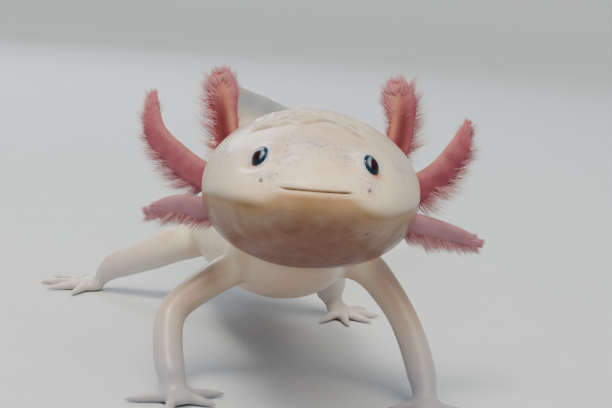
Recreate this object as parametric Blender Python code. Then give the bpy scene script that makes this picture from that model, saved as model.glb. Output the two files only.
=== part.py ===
"""A still, life-size axolotl. It stands with its head raised, its legs spread and its tail lifted.

Every place below is in millimetres from the floor point under the tip of the snout:
X to the animal's left, Y towards its tail and Z up. The finished solids are in metres, and
their origin is on the floor, under the middle of the whole animal's box.
"""

import math
import random

import bmesh
import bpy
from mathutils import Vector
from mathutils.bvhtree import BVHTree

MM = 0.001
UP = Vector((0, 0, 1))
TAILWARDS = Vector((0, 1, 0))
# A place on the Y axis that lies in front of the whole animal.
IN_FRONT = -10.0

# The origin, measured from the floor point under the tip of the snout.
ORIGIN = Vector((-13.0, 84.0, 0.0))

# Touching pieces keep this space between them.
GAP = 0.3

# The body along its middle line, from the snout to the tip of the tail:
# name, place of the middle line, half width, height above the line, depth below it.
BODY = (
    ("snout tip", (0.3, 0.0, 37.9), 2.6, 1.1, 1.3),
    ("lips", (0.3, 1.0, 37.6), 7.3, 2.9, 3.6),
    ("nostrils", (0.3, 3.6, 37.2), 10.5, 4.9, 6.2),
    ("eyes", (0.2, 8.0, 36.8), 13.1, 7.2, 8.8),
    ("cheeks", (0.1, 14.0, 36.5), 15.9, 10.0, 11.2),
    ("jaw corners", (0.0, 20.0, 36.0), 17.0, 12.2, 12.2),
    ("crown", (-0.3, 25.0, 34.6), 16.3, 13.7, 12.0),
    ("nape", (-0.9, 29.5, 32.0), 13.8, 14.2, 11.0),
    ("neck", (-1.6, 33.5, 29.0), 11.6, 13.4, 10.6),
    ("shoulders", (-2.6, 39.0, 25.6), 11.4, 12.2, 11.2),
    ("chest", (-4.2, 47.0, 22.8), 12.0, 11.5, 11.2),
    ("belly", (-7.0, 59.0, 20.6), 12.8, 10.9, 11.0),
    ("loin", (-11.0, 73.0, 18.4), 11.8, 9.8, 9.2),
    ("hips", (-14.4, 84.0, 17.2), 9.8, 8.8, 7.8),
    ("tail root", (-17.2, 95.0, 19.0), 6.6, 8.0, 6.6),
    ("tail rise", (-19.2, 106.0, 24.0), 5.2, 7.6, 6.0),
    ("tail arch", (-19.6, 118.0, 27.6), 4.4, 7.2, 5.6),
    ("tail bend", (-16.0, 130.0, 26.8), 3.7, 6.4, 5.0),
    ("tail turn", (-7.5, 141.0, 24.0), 3.0, 5.2, 4.2),
    ("tail fall", (4.5, 151.0, 20.8), 2.2, 3.9, 3.2),
    ("tail end", (16.5, 160.0, 17.2), 1.3, 2.4, 2.0),
    ("tail tip", (27.0, 168.0, 14.4), 0.5, 0.7, 0.7),
)

# How far the thin fins stand out above and below the flesh, by place.
FIN_HEIGHTS = {
    "chest": (0.6, 0.0),
    "belly": (1.4, 0.0),
    "loin": (2.4, 0.0),
    "hips": (3.8, 0.0),
    "tail root": (5.4, 2.6),
    "tail rise": (7.2, 4.8),
    "tail arch": (8.4, 6.0),
    "tail bend": (8.2, 6.4),
    "tail turn": (7.6, 6.0),
    "tail fall": (6.2, 5.0),
    "tail end": (4.2, 3.4),
    "tail tip": (1.0, 0.8),
}
LEAST_FIN_HEIGHT = 0.25
# A fin's thickness at its edge, half way down and at its foot, and the most that half of each may
# take of the flesh's half width. Its middle lies at a part of the fin's height, and its foot at a
# part of the flesh's.
FIN_THICKNESSES = (0.7, 1.1, 1.9)
FIN_WIDTH_LIMITS = (0.5, 0.62, 0.78)
FIN_MIDDLE_PART = 0.5
FIN_FOOT_PART = 0.97

# How square a section is: 2 is an ellipse. The top of the head is a dome, and its jaws are fuller.
HEAD_TOP_SQUARENESS = 1.95
HEAD_JAW_SQUARENESS = 2.25
TRUNK_SQUARENESS = 2.1

# Where the body is parted: name, first and last place, distance between rings, columns on each side.
BODY_LENGTHS = (
    ("head", "snout tip", "nape", 1.3, 20),
    ("neck", "nape", "neck", 2.0, 16),
    ("torso_front", "neck", "chest", 2.6, 14),
    ("torso_middle", "chest", "loin", 3.8, 12),
    ("torso_rear", "loin", "tail root", 3.4, 12),
    ("tail_root", "tail root", "tail arch", 3.0, 9),
    ("tail_middle", "tail arch", "tail turn", 3.0, 9),
    ("tail_end", "tail turn", "tail tip", 3.6, 8),
)
FINNED_FROM = "chest"
# The grown body that the legs and gills are cut clear of.
CUTTER_STEP = 2.0
CUTTER_COLUMNS = 22

# Eyes, by the middle of each ball.
EYE_RADIUS = 1.4
BALL_SIDES = 12
BALL_BANDS = 8
EYES = {"eye_right": (-7.9, 8.4, 41.7), "eye_left": (8.5, 8.4, 41.5)}

NOSTRIL_RADIUS = 0.45
NOSTRIL_SIDE = 7.8
NOSTRIL_HEIGHT = 39.2

# The mouth is a groove round the snout between two soft lips, seen from a point inside the head.
MOUTH_CENTRE = Vector((0.3, 14.0, 0.0))
MOUTH_HEIGHT = 39.2
MOUTH_CORNER_DROP = 2.6
MOUTH_REACH = math.radians(52)
MOUTH_STEPS = 22
MOUTH_GROOVE_HALF_HEIGHT = 0.2
MOUTH_GROOVE_DEPTH = 0.6
MOUTH_GROOVE_SHALLOWING = 0.6
LIP_FROM_MOUTH = 0.85
LIP_HALF = 0.8
LIP_SINK = 0.5
LIP_THINNING = 0.8
LIP_SIDES = 8
LIP_STEP = 1.6
# The lips and the groove fade with this power of the way to the corners of the mouth.
MOUTH_FADE_POWER = 3

# Legs: the places of the limb from inside the body to the wrist, by way of its root and its elbow
# or knee, and the tips of the toes on the floor.
LEGS = {
    "front_right": (
        (
            (-5.0, 37.5, 21.5),
            (-11.0, 36.0, 19.4),
            (-16.8, 33.0, 16.0),
            (-21.4, 30.0, 11.8),
            (-21.3, 25.0, 7.2),
            (-19.8, 20.2, 3.4),
        ),
        ((-26.6, 17.4), (-19.6, 12.6), (-12.6, 17.8), (-11.8, 23.6)),
    ),
    "front_left": (
        (
            (5.0, 37.5, 22.5),
            (10.6, 37.2, 20.4),
            (14.2, 36.0, 17.0),
            (17.4, 33.8, 12.8),
            (19.7, 30.0, 8.2),
            (21.2, 25.6, 3.7),
        ),
        ((15.4, 22.6), (18.8, 16.6), (24.8, 16.2), (29.6, 22.4)),
    ),
    "hind_right": (
        (
            (-16.0, 80.5, 15.4),
            (-22.0, 81.0, 14.0),
            (-26.8, 81.6, 12.2),
            (-31.4, 82.4, 9.8),
            (-35.9, 83.6, 7.7),
            (-40.2, 85.0, 5.6),
        ),
        ((-47.6, 79.0), (-53.2, 82.4), (-55.6, 87.4), (-53.6, 92.6), (-48.0, 95.0)),
    ),
    "hind_left": (
        (
            (-10.0, 82.0, 15.0),
            (-4.0, 80.8, 14.4),
            (0.6, 78.6, 15.0),
            (4.6, 77.2, 12.8),
            (5.8, 78.4, 8.4),
            (5.6, 80.6, 4.2),
        ),
        ((4.2, 72.6), (9.8, 71.8), (14.6, 75.4), (16.0, 80.6), (13.6, 86.0)),
    ),
}
# Each pair's pieces and how thick it is, halved, at the places above.
LEG_NODES = {
    "front": (("upper_arm", "forearm", "hand"), (3.6, 3.1, 2.7, 2.5, 2.5, 2.4)),
    "hind": (("thigh", "shin", "foot"), (4.6, 4.1, 3.7, 3.4, 3.1, 2.8)),
}
LEG_SIDES = 10
LEG_STEP = 2.0
ELBOW_PLACE = 3
WRIST_PLACE = 5
# The frames that carry a limb's, toe's or stalk's section along it.
TUBE_FRAMES = 48

# The palm lies flat in front of the wrist, and the toes leave it like spread fingers.
PALM_PART = 0.42
PALM_HALVES = (3.2, 2.9, 1.5)
SOLE_SINK = 0.2
# The wrist's end sinks this part of the way into the palm, drawn in to this part of its size.
WRIST_INTO_PALM = 0.6
WRIST_END_PART = 0.75
SHIN_CUT_PART = 0.45
TOE_HALF = 0.95
TOE_MIDDLE_HALVES = (0.81, 0.76)
TOE_TIP_HALF = 0.36
TOE_ROOT_PART = 0.12
TOE_MIDDLE_PART = 0.6
TOE_SIDES = 6
TOE_STEP = 1.8
# Opposite corners of the block under the floor.
FLOOR = ((-90, -30, -8), (60, 200, 0))

# Gills: the stalk's middle line from inside the head to its tip, the ways in which its two rows
# of filaments leave it, and how long the filaments are near its root, half way and at its tip.
GILLS = {
    "gill_upper_right": (
        ((-10.0, 27.5, 37.0), (-13.4, 27.8, 40.2), (-15.0, 30.5, 45.9), (-16.2, 34.5, 51.4)),
        ((-1.0, 0.3, 0.0), (1.0, 0.5, 0.0)),
        (2.2, 3.1, 2.6),
    ),
    "gill_middle_right": (
        (
            (-13.0, 27.0, 34.0),
            (-16.8, 27.6, 35.2),
            (-21.8, 30.2, 37.6),
            (-26.0, 33.4, 41.8),
            (-28.2, 37.0, 46.9),
        ),
        ((-0.8, 0.1, -1.0), (-0.5, 1.0, -0.2)),
        (2.8, 3.2, 2.2),
    ),
    "gill_lower_right": (
        ((-12.5, 26.5, 30.6), (-16.4, 27.0, 30.2), (-21.4, 27.8, 30.2), (-26.4, 29.0, 28.9)),
        ((0.0, 0.0, -1.0), (0.0, 1.0, -0.3)),
        (3.2, 2.6, 1.3),
    ),
    "gill_upper_left": (
        ((9.6, 27.5, 38.0), (12.9, 27.8, 41.6), (13.8, 30.5, 46.8), (12.8, 34.5, 52.0)),
        ((-1.0, 0.5, 0.0), (1.0, 0.3, 0.0)),
        (2.2, 3.1, 2.6),
    ),
    "gill_middle_left": (
        (
            (12.6, 27.0, 34.6),
            (16.4, 27.6, 35.8),
            (20.9, 30.2, 38.6),
            (23.8, 33.4, 42.6),
            (25.3, 37.0, 46.4),
        ),
        ((0.8, 0.1, -1.0), (0.5, 1.0, -0.2)),
        (3.2, 3.3, 2.2),
    ),
    "gill_lower_left": (
        ((12.5, 26.5, 31.0), (16.5, 27.0, 30.4), (22.4, 29.2, 28.8), (28.6, 32.0, 27.2)),
        ((0.0, 0.0, -1.0), (0.0, 1.0, -0.3)),
        (3.2, 2.6, 1.3),
    ),
}
# Half sizes of the stalk, side to side and front to back, from its root to its tip.
STALK_HALVES = ((1.9, 1.4), (2.0, 1.4), (1.8, 1.2), (1.4, 1.0), (0.7, 0.6))
STALK_LIE = Vector((0, 1, 0.2))
STALK_SIDES = 8
STALK_STEP = 1.8
FILAMENT_SPACING = 1.4
FILAMENTS_FROM = 0.28
FILAMENT_HALVES = ((0.5, 0.58), (0.36, 0.5), (0.14, 0.16))
# Each filament bends part of the way along it, leans towards the stalk's tip before the bend and
# more after it, and droops at its end.
FILAMENT_BEND_PART = 0.6
FILAMENT_LEANS = (0.55, 1.15)
FILAMENT_END_PART = 0.5
FILAMENT_DROOP = 0.25
FILAMENT_VARIATION = 0.16
FILAMENT_SIDES = 4
FILAMENT_STEP = 1.6
FILAMENT_SEED = 7

SKIN_COLOUR = (0.80, 0.68, 0.56, 1.0)
GILL_COLOUR = (0.62, 0.27, 0.26, 1.0)
EYE_COLOUR = (0.02, 0.02, 0.03, 1.0)


def clear_scene():
    for item in list(bpy.data.objects):
        bpy.data.objects.remove(item, do_unlink=True)


def material(name, colour, roughness):
    made = bpy.data.materials.new(name)
    made.use_nodes = True
    shader = made.node_tree.nodes["Principled BSDF"]
    shader.inputs["Base Color"].default_value = colour
    shader.inputs["Roughness"].default_value = roughness
    shader.inputs["Metallic"].default_value = 0.0
    return made


class Line:
    """Values that change smoothly along a length, through one value at each knot, and never swing past them."""

    def __init__(self, knots, values):
        self.knots = knots
        self.values = values
        rises = [(b - a) / (e - s) for a, b, s, e in zip(values, values[1:], knots, knots[1:])]
        self.slopes = [rises[0]]
        for before, after in zip(rises, rises[1:]):
            level = before * after <= 0
            self.slopes.append(0.0 if level else 2 * before * after / (before + after))
        self.slopes.append(rises[-1])

    def __call__(self, at):
        return hermite(self.knots, self.values, self.slopes, at)


def hermite(knots, values, slopes, at):
    i = 0
    while i < len(knots) - 2 and at > knots[i + 1]:
        i += 1
    step = knots[i + 1] - knots[i]
    t = (at - knots[i]) / step
    return (
        values[i] * ((1 + 2 * t) * (1 - t) ** 2)
        + slopes[i] * (step * t * (1 - t) ** 2)
        + values[i + 1] * (t * t * (3 - 2 * t))
        + slopes[i + 1] * (step * t * t * (t - 1))
    )


class Path:
    """A smooth curve through places, measured along the straight lines between them."""

    def __init__(self, places):
        self.places = [Vector(place) for place in places]
        self.knots = [0.0]
        for a, b in zip(self.places, self.places[1:]):
            self.knots.append(self.knots[-1] + (b - a).length)
        self.length = self.knots[-1]
        last = len(self.places) - 1
        self.slopes = []
        for i in range(last + 1):
            before, after = max(i - 1, 0), min(i + 1, last)
            rise = self.places[after] - self.places[before]
            self.slopes.append(rise / (self.knots[after] - self.knots[before]))

    def __call__(self, at):
        return hermite(self.knots, self.places, self.slopes, at)

    def heading(self, at, reach=0.2):
        ahead, behind = min(at + reach, self.length), max(at - reach, 0.0)
        return (self(ahead) - self(behind)).normalized()


class Body:
    """The whole body's surface: its middle line and its sections, all of them larger by grown."""

    def __init__(self, grown=0.0):
        self.path = Path([row[1] for row in BODY])
        knots = self.path.knots
        self.at = dict(zip([row[0] for row in BODY], knots))
        self.half_width = Line(knots, [row[2] + grown for row in BODY])
        self.rise = Line(knots, [row[3] + grown for row in BODY])
        self.drop = Line(knots, [row[4] + grown for row in BODY])
        fins = [FIN_HEIGHTS.get(row[0], (0.0, 0.0)) for row in BODY]
        self.back_fin = Line(knots, [fin[0] for fin in fins])
        self.belly_fin = Line(knots, [fin[1] for fin in fins])

    def squareness(self, at, head_squareness):
        nape = self.at["nape"]
        part = min(max((at - nape) / (self.at["chest"] - nape), 0.0), 1.0)
        return head_squareness + (TRUNK_SQUARENESS - head_squareness) * part

    def outline(self, at, columns, finned):
        """Half of the section as (across, up) points, from the middle of the back to that of the belly."""
        wide, rise, drop = self.half_width(at), self.rise(at), self.drop(at)
        points = []
        for column in range(columns):
            angle = math.pi * (column + 0.5) / columns
            up = math.cos(angle)
            above = up > 0
            square = self.squareness(at, HEAD_TOP_SQUARENESS if above else HEAD_JAW_SQUARENESS)
            height = abs(up) ** (2 / square) * (rise if above else -drop)
            points.append((wide * math.sin(angle) ** (2 / square), height))
        if finned:
            back = fin_outline(rise, self.back_fin(at), wide)
            belly = [(x, -z) for x, z in reversed(fin_outline(drop, self.belly_fin(at), wide))]
            points = back + points[1:-1] + belly
        return points

    def ring(self, at, columns, finned, shift=0.0):
        ahead = self.path.heading(at)
        across = ahead.cross(UP).normalized()
        up = across.cross(ahead).normalized()
        middle = self.path(at) + ahead * shift
        half = self.outline(at, columns, finned)
        left = [middle + across * x + up * z for x, z in half]
        right = [middle - across * x + up * z for x, z in reversed(half)]
        return left + right


def fin_outline(flesh, height, wide):
    """A fin's half outline from its edge down to where it meets the flesh."""
    height = max(height, LEAST_FIN_HEIGHT)
    pairs = zip(FIN_THICKNESSES, FIN_WIDTH_LIMITS)
    edge, middle, foot = [min(thickness / 2, wide * limit) for thickness, limit in pairs]
    return [
        (edge, flesh + height),
        (middle, flesh + height * FIN_MIDDLE_PART),
        (foot, flesh * FIN_FOOT_PART),
    ]


class Tube:
    """A limb, toe or stalk: a smooth path with an oval section, the first of whose half sizes lies
    square to both the path's end and the way it is given.
    """

    def __init__(self, places, halves, sides, lie=UP):
        self.path = Path(places)
        knots = [self.path.length * i / (len(halves) - 1) for i in range(len(halves))]
        if len(halves) == len(places):
            knots = self.path.knots
        self.across_half = Line(knots, [half[0] for half in halves])
        self.along_half = Line(knots, [half[1] for half in halves])
        self.sides = sides
        self.samples = [self.path.length * i / TUBE_FRAMES for i in range(TUBE_FRAMES + 1)]
        across = self.path.heading(self.path.length).cross(lie).normalized()
        self.across = []
        for at in reversed(self.samples):
            ahead = self.path.heading(at)
            across = (across - ahead * across.dot(ahead)).normalized()
            self.across.insert(0, across)

    def ring(self, at, shift=0.0):
        nearest = round(at / self.path.length * TUBE_FRAMES)
        ahead = self.path.heading(at)
        across = self.across[nearest]
        across = (across - ahead * across.dot(ahead)).normalized()
        up = across.cross(ahead).normalized()
        middle = self.path(at) + ahead * shift
        ring = []
        for i in range(self.sides):
            angle = 2 * math.pi * i / self.sides
            level = across * math.cos(angle) * self.across_half(at)
            ring.append(middle + level + up * math.sin(angle) * self.along_half(at))
        return ring

    def mesh(self, start, end, step, start_shift=0.0, end_shift=0.0):
        places = spaced(start, end, step)
        shifts = [start_shift] + [0.0] * (len(places) - 2) + [end_shift]
        return skin_over([self.ring(at, shift) for at, shift in zip(places, shifts)])

    def whole(self, step):
        return self.mesh(0.0, self.path.length, step)


def spaced(start, end, step):
    count = max(2, round((end - start) / step))
    return [start + (end - start) * i / count for i in range(count + 1)]


def skin_over(rings):
    """A closed surface over rings of equally many points, with the two halves of each ring split alike."""
    mesh = bmesh.new()
    rows = [[mesh.verts.new(point) for point in ring] for ring in rings]
    count = len(rings[0])
    for row, following in zip(rows, rows[1:]):
        for i in range(count):
            j = (i + 1) % count
            if i < count // 2:
                mesh.faces.new((row[i], row[j], following[j]))
                mesh.faces.new((row[i], following[j], following[i]))
            else:
                mesh.faces.new((row[i], row[j], following[i]))
                mesh.faces.new((row[j], following[j], following[i]))
    mesh.faces.new(rows[0])
    mesh.faces.new(rows[-1])
    bmesh.ops.recalc_face_normals(mesh, faces=mesh.faces)
    return mesh


def ball(centre, radius):
    mesh = bmesh.new()
    bmesh.ops.create_uvsphere(mesh, u_segments=BALL_SIDES, v_segments=BALL_BANDS, radius=radius)
    bmesh.ops.translate(mesh, verts=mesh.verts, vec=centre)
    return mesh


def block(low, high):
    mesh = bmesh.new()
    bmesh.ops.create_cube(mesh, size=1.0)
    low, high = Vector(low), Vector(high)
    for vertex in mesh.verts:
        vertex.co = Vector([(a + b) / 2 + (b - a) * c for a, b, c in zip(low, high, vertex.co)])
    return mesh


def mesh_object(name, mesh, look):
    """Puts a mesh in millimetres into the scene as a smooth object in metres."""
    for vertex in mesh.verts:
        vertex.co = (vertex.co - ORIGIN) * MM
    data = bpy.data.meshes.new(name)
    mesh.to_mesh(data)
    mesh.free()
    data.materials.append(look)
    data.shade_smooth()
    made = bpy.data.objects.new(name, data)
    bpy.context.scene.collection.objects.link(made)
    return made


def combine(target, operation, meshes, look):
    """Joins meshes to an object, or cuts them from it, and leaves only its largest closed surface."""
    group = bpy.data.collections.new("operands")
    bpy.context.scene.collection.children.link(group)
    others = [mesh_object("operand", mesh, look) for mesh in meshes]
    for other in others:
        group.objects.link(other)
    step = target.modifiers.new("combined", "BOOLEAN")
    step.operation = operation
    step.solver = "EXACT"
    step.operand_type = "COLLECTION"
    step.collection = group
    graph = bpy.context.evaluated_depsgraph_get()
    old, target.data = target.data, bpy.data.meshes.new_from_object(target.evaluated_get(graph))
    target.modifiers.clear()
    bpy.data.meshes.remove(old)
    for other in others:
        bpy.data.objects.remove(other, do_unlink=True)
    bpy.data.collections.remove(group)
    keep_largest(target)


def keep_largest(target):
    mesh = bmesh.new()
    mesh.from_mesh(target.data)
    unseen = set(mesh.verts)
    parts = []
    while unseen:
        front = [unseen.pop()]
        part = list(front)
        while front:
            for edge in front.pop().link_edges:
                for vertex in edge.verts:
                    if vertex in unseen:
                        unseen.remove(vertex)
                        front.append(vertex)
                        part.append(vertex)
        parts.append(part)
    largest = max(parts, key=len)
    for part in parts:
        if part is not largest:
            bmesh.ops.delete(mesh, geom=part, context="VERTS")
    mesh.to_mesh(target.data)
    mesh.free()
    target.data.shade_smooth()


def body_mesh(body, start, end, step, columns):
    """One length of the body, with its end faces half a gap short of the cuts."""
    finned = body.at[start] >= body.at[FINNED_FROM]
    places = spaced(body.at[start], body.at[end], step)
    shifts = [0.0] * len(places)
    if start != "snout tip":
        shifts[0] = GAP / 2
    if end != "tail tip":
        shifts[-1] = -GAP / 2
    return skin_over([body.ring(at, columns, finned, shift) for at, shift in zip(places, shifts)])


def head(mesh, look):
    """The head, with its lips, the line of the mouth, the nostrils and the sockets of the eyes."""
    surface = BVHTree.FromBMesh(mesh)
    made = mesh_object("head", mesh, look)
    combine(made, "UNION", [lip(surface, LIP_FROM_MOUTH), lip(surface, -LIP_FROM_MOUTH)], look)
    cuts = [mouth_groove(surface)]
    for side in (-1, 1):
        start = Vector((MOUTH_CENTRE.x + side * NOSTRIL_SIDE, IN_FRONT, NOSTRIL_HEIGHT))
        cuts.append(ball(surface.ray_cast(start, TAILWARDS)[0], NOSTRIL_RADIUS))
    for centre in EYES.values():
        cuts.append(ball(centre, EYE_RADIUS + GAP))
    combine(made, "DIFFERENCE", cuts, look)


def mouth_line(surface, above):
    """Places on the skin along the mouth, from right to left, and the ways out of the skin there."""
    for step in range(MOUTH_STEPS + 1):
        part = 2 * step / MOUTH_STEPS - 1
        turn = MOUTH_REACH * part
        outwards = Vector((math.sin(turn), -math.cos(turn), 0))
        height = MOUTH_HEIGHT + above - MOUTH_CORNER_DROP * part**2
        yield part, surface.ray_cast(MOUTH_CENTRE + UP * height, outwards)[0], outwards


def lip(surface, above):
    """A soft roll along the mouth that thins out towards its corners."""
    places = []
    halves = []
    for part, skin, outwards in mouth_line(surface, above):
        half = LIP_HALF * (1 - LIP_THINNING * abs(part) ** MOUTH_FADE_POWER)
        places.append(skin - outwards * LIP_SINK)
        halves.append((half, half))
    return Tube(places, halves, LIP_SIDES).whole(LIP_STEP)


def mouth_groove(surface):
    """A thin curved plate whose inner edge follows the lips just under the skin."""
    rings = []
    for part, skin, outwards in mouth_line(surface, 0.0):
        shallow = 1 - MOUTH_GROOVE_SHALLOWING * abs(part) ** MOUTH_FADE_POWER
        inner = skin - outwards * MOUTH_GROOVE_DEPTH * shallow
        outer = skin + outwards
        lift = UP * MOUTH_GROOVE_HALF_HEIGHT
        rings.append([outer + lift * 2, inner + lift, inner - lift, outer - lift * 2])
    return skin_over(rings)


def leg(name, places, toes, halves, names, body_cutter, skin):
    """A leg as three pieces that meet at its two lower joints, with the foot's toes fused to its palm."""
    limb = Tube(places, [(half, half) for half in halves], LEG_SIDES)
    elbow, wrist = limb.path.knots[ELBOW_PLACE], limb.path.length
    upper = mesh_object(names[0] + "_" + name, limb.mesh(0.0, elbow, LEG_STEP, 0.0, -GAP / 2), skin)
    combine(upper, "DIFFERENCE", [body_cutter.copy()], skin)
    mesh_object(names[1] + "_" + name, limb.mesh(elbow, wrist, LEG_STEP, GAP / 2, -GAP / 2), skin)
    heel = Vector(places[WRIST_PLACE])
    under_heel = Vector((heel.x, heel.y, 0))
    reach = sum((Vector((x, y, 0)) for x, y in toes), Vector()) / len(toes) - under_heel
    palm = under_heel + UP * (PALM_HALVES[2] - SOLE_SINK) + reach * PALM_PART
    top = limb.ring(wrist, GAP / 2)
    inside = heel.lerp(palm, WRIST_INTO_PALM) - heel
    bottom = [heel + inside + (point - heel) * WRIST_END_PART for point in top]
    foot = mesh_object(names[2] + "_" + name, skin_over([top, bottom]), skin)
    combine(foot, "UNION", [palm_pad(palm, reach)] + [toe(palm, tip) for tip in toes], skin)
    grown = Tube(places, [(half + GAP, half + GAP) for half in halves], LEG_SIDES)
    shin_space = grown.mesh(elbow, wrist, LEG_STEP, 0.0, GAP * SHIN_CUT_PART)
    combine(foot, "DIFFERENCE", [shin_space, block(*FLOOR)], skin)


def palm_pad(palm, reach):
    """A flattened ball that lies along the foot."""
    mesh = bmesh.new()
    bmesh.ops.create_uvsphere(mesh, u_segments=BALL_SIDES, v_segments=BALL_BANDS, radius=1.0)
    ahead = reach.normalized()
    across = Vector((-ahead.y, ahead.x, 0))
    long, wide, high = PALM_HALVES
    for vertex in mesh.verts:
        x, y, z = vertex.co
        vertex.co = palm + ahead * x * long + across * y * wide + UP * z * high
    return mesh


def toe(palm, tip):
    tip = Vector((tip[0], tip[1], TOE_TIP_HALF - SOLE_SINK / 2))
    root = Vector((palm.x, palm.y, TOE_HALF - SOLE_SINK)).lerp(tip, TOE_ROOT_PART)
    middle = palm.lerp(tip, TOE_MIDDLE_PART)
    middle.z = TOE_HALF - SOLE_SINK / 2
    halves = [(TOE_HALF, TOE_HALF), TOE_MIDDLE_HALVES, (TOE_TIP_HALF, TOE_TIP_HALF)]
    return Tube([root, middle, tip], halves, TOE_SIDES).whole(TOE_STEP)


def gill(name, places, ways, lengths, head_cutter, look, draw):
    """A gill: its stalk with two rows of filaments fused to it, cut clear of the head and neck."""
    stalk = Tube(places, STALK_HALVES, STALK_SIDES, STALK_LIE)
    made = mesh_object(name, stalk.whole(STALK_STEP), look)
    filaments = []
    for row, way in enumerate(ways):
        first = stalk.path.length * FILAMENTS_FROM + row * FILAMENT_SPACING / 2
        count = int((stalk.path.length - first) / FILAMENT_SPACING)
        for i in range(count + 1):
            at = first + i * FILAMENT_SPACING
            length = Line((0.0, 0.5, 1.0), lengths)(i / count)
            filaments.append(filament(stalk, at, Vector(way), length, draw))
    combine(made, "UNION", filaments, look)
    combine(made, "DIFFERENCE", [head_cutter.copy()], look)


def filament(stalk, at, way, length, draw):
    """One filament, rooted in the middle of the stalk, that leans towards the stalk's tip."""
    ahead = stalk.path.heading(at)
    out = (way - ahead * way.dot(ahead)).normalized()
    length *= 1 + draw.uniform(-FILAMENT_VARIATION, FILAMENT_VARIATION)
    first_lean, second_lean = FILAMENT_LEANS
    root = stalk.path(at)
    bend = root + (out + ahead * first_lean) * length * FILAMENT_BEND_PART
    tip = bend + (out + ahead * second_lean) * length * FILAMENT_END_PART - UP * FILAMENT_DROOP
    path = (root, bend, tip)
    return Tube(path, FILAMENT_HALVES, FILAMENT_SIDES, out.cross(ahead)).whole(FILAMENT_STEP)


def main():
    clear_scene()
    skin = material("skin", SKIN_COLOUR, 0.35)
    gill_flesh = material("gill_flesh", GILL_COLOUR, 0.4)
    eye = material("eye", EYE_COLOUR, 0.05)
    body = Body()
    for name, start, end, step, columns in BODY_LENGTHS:
        mesh = body_mesh(body, start, end, step, columns)
        if name == "head":
            head(mesh, skin)
        else:
            mesh_object(name, mesh, skin)
    for name, centre in EYES.items():
        mesh_object(name, ball(centre, EYE_RADIUS), eye)
    grown = Body(GAP)
    places = spaced(0.0, grown.at["tail root"], CUTTER_STEP)
    cutter = skin_over([grown.ring(at, CUTTER_COLUMNS, False) for at in places])
    for name, (places, toes) in LEGS.items():
        names, halves = LEG_NODES[name.split("_")[0]]
        leg(name, places, toes, halves, names, cutter, skin)
    draw = random.Random(FILAMENT_SEED)
    for name, (places, ways, lengths) in GILLS.items():
        gill(name, places, ways, lengths, cutter, gill_flesh, draw)
    cutter.free()


main()
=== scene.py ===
import math

import bmesh
import bpy
import numpy as np
from mathutils import Matrix, Vector, noise
from mathutils.bvhtree import BVHTree


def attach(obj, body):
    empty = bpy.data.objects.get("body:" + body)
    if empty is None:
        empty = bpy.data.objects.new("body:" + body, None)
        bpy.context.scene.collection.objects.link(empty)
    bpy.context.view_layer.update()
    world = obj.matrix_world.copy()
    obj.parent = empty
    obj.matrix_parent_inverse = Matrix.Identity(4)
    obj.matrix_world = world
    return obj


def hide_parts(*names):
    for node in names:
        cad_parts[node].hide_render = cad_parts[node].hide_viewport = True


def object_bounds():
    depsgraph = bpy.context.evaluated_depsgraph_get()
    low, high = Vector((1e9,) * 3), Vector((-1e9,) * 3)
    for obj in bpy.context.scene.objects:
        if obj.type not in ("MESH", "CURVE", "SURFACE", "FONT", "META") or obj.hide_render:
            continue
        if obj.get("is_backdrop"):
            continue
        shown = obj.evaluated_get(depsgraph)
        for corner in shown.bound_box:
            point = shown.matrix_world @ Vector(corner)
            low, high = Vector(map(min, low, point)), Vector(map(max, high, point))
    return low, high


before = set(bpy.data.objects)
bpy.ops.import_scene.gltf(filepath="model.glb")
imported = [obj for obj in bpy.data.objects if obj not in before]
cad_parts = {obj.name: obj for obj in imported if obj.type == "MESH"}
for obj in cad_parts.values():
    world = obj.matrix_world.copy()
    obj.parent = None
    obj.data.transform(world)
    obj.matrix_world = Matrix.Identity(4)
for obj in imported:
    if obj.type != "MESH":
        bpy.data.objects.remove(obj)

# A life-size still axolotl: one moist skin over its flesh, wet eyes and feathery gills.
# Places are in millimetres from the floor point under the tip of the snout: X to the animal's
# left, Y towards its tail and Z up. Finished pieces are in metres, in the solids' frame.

solids_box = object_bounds()

MM = 0.001
ORIGIN = np.array((-13.0, 84.0, 0.0))
UP = np.array((0.0, 0.0, 1.0))

# The camera's place, how far it looks down and leans, and its lens for a 612 px wide picture.
CAMERA_PLACE = (-0.6, -172.0, 67.5)
CAMERA_DIP = 10.0
CAMERA_LEAN = 4.5
CAMERA_FOCUS_PIXELS = 1250
PICTURE_WIDTH = 612
SENSOR_WIDTH = 36.0

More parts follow.
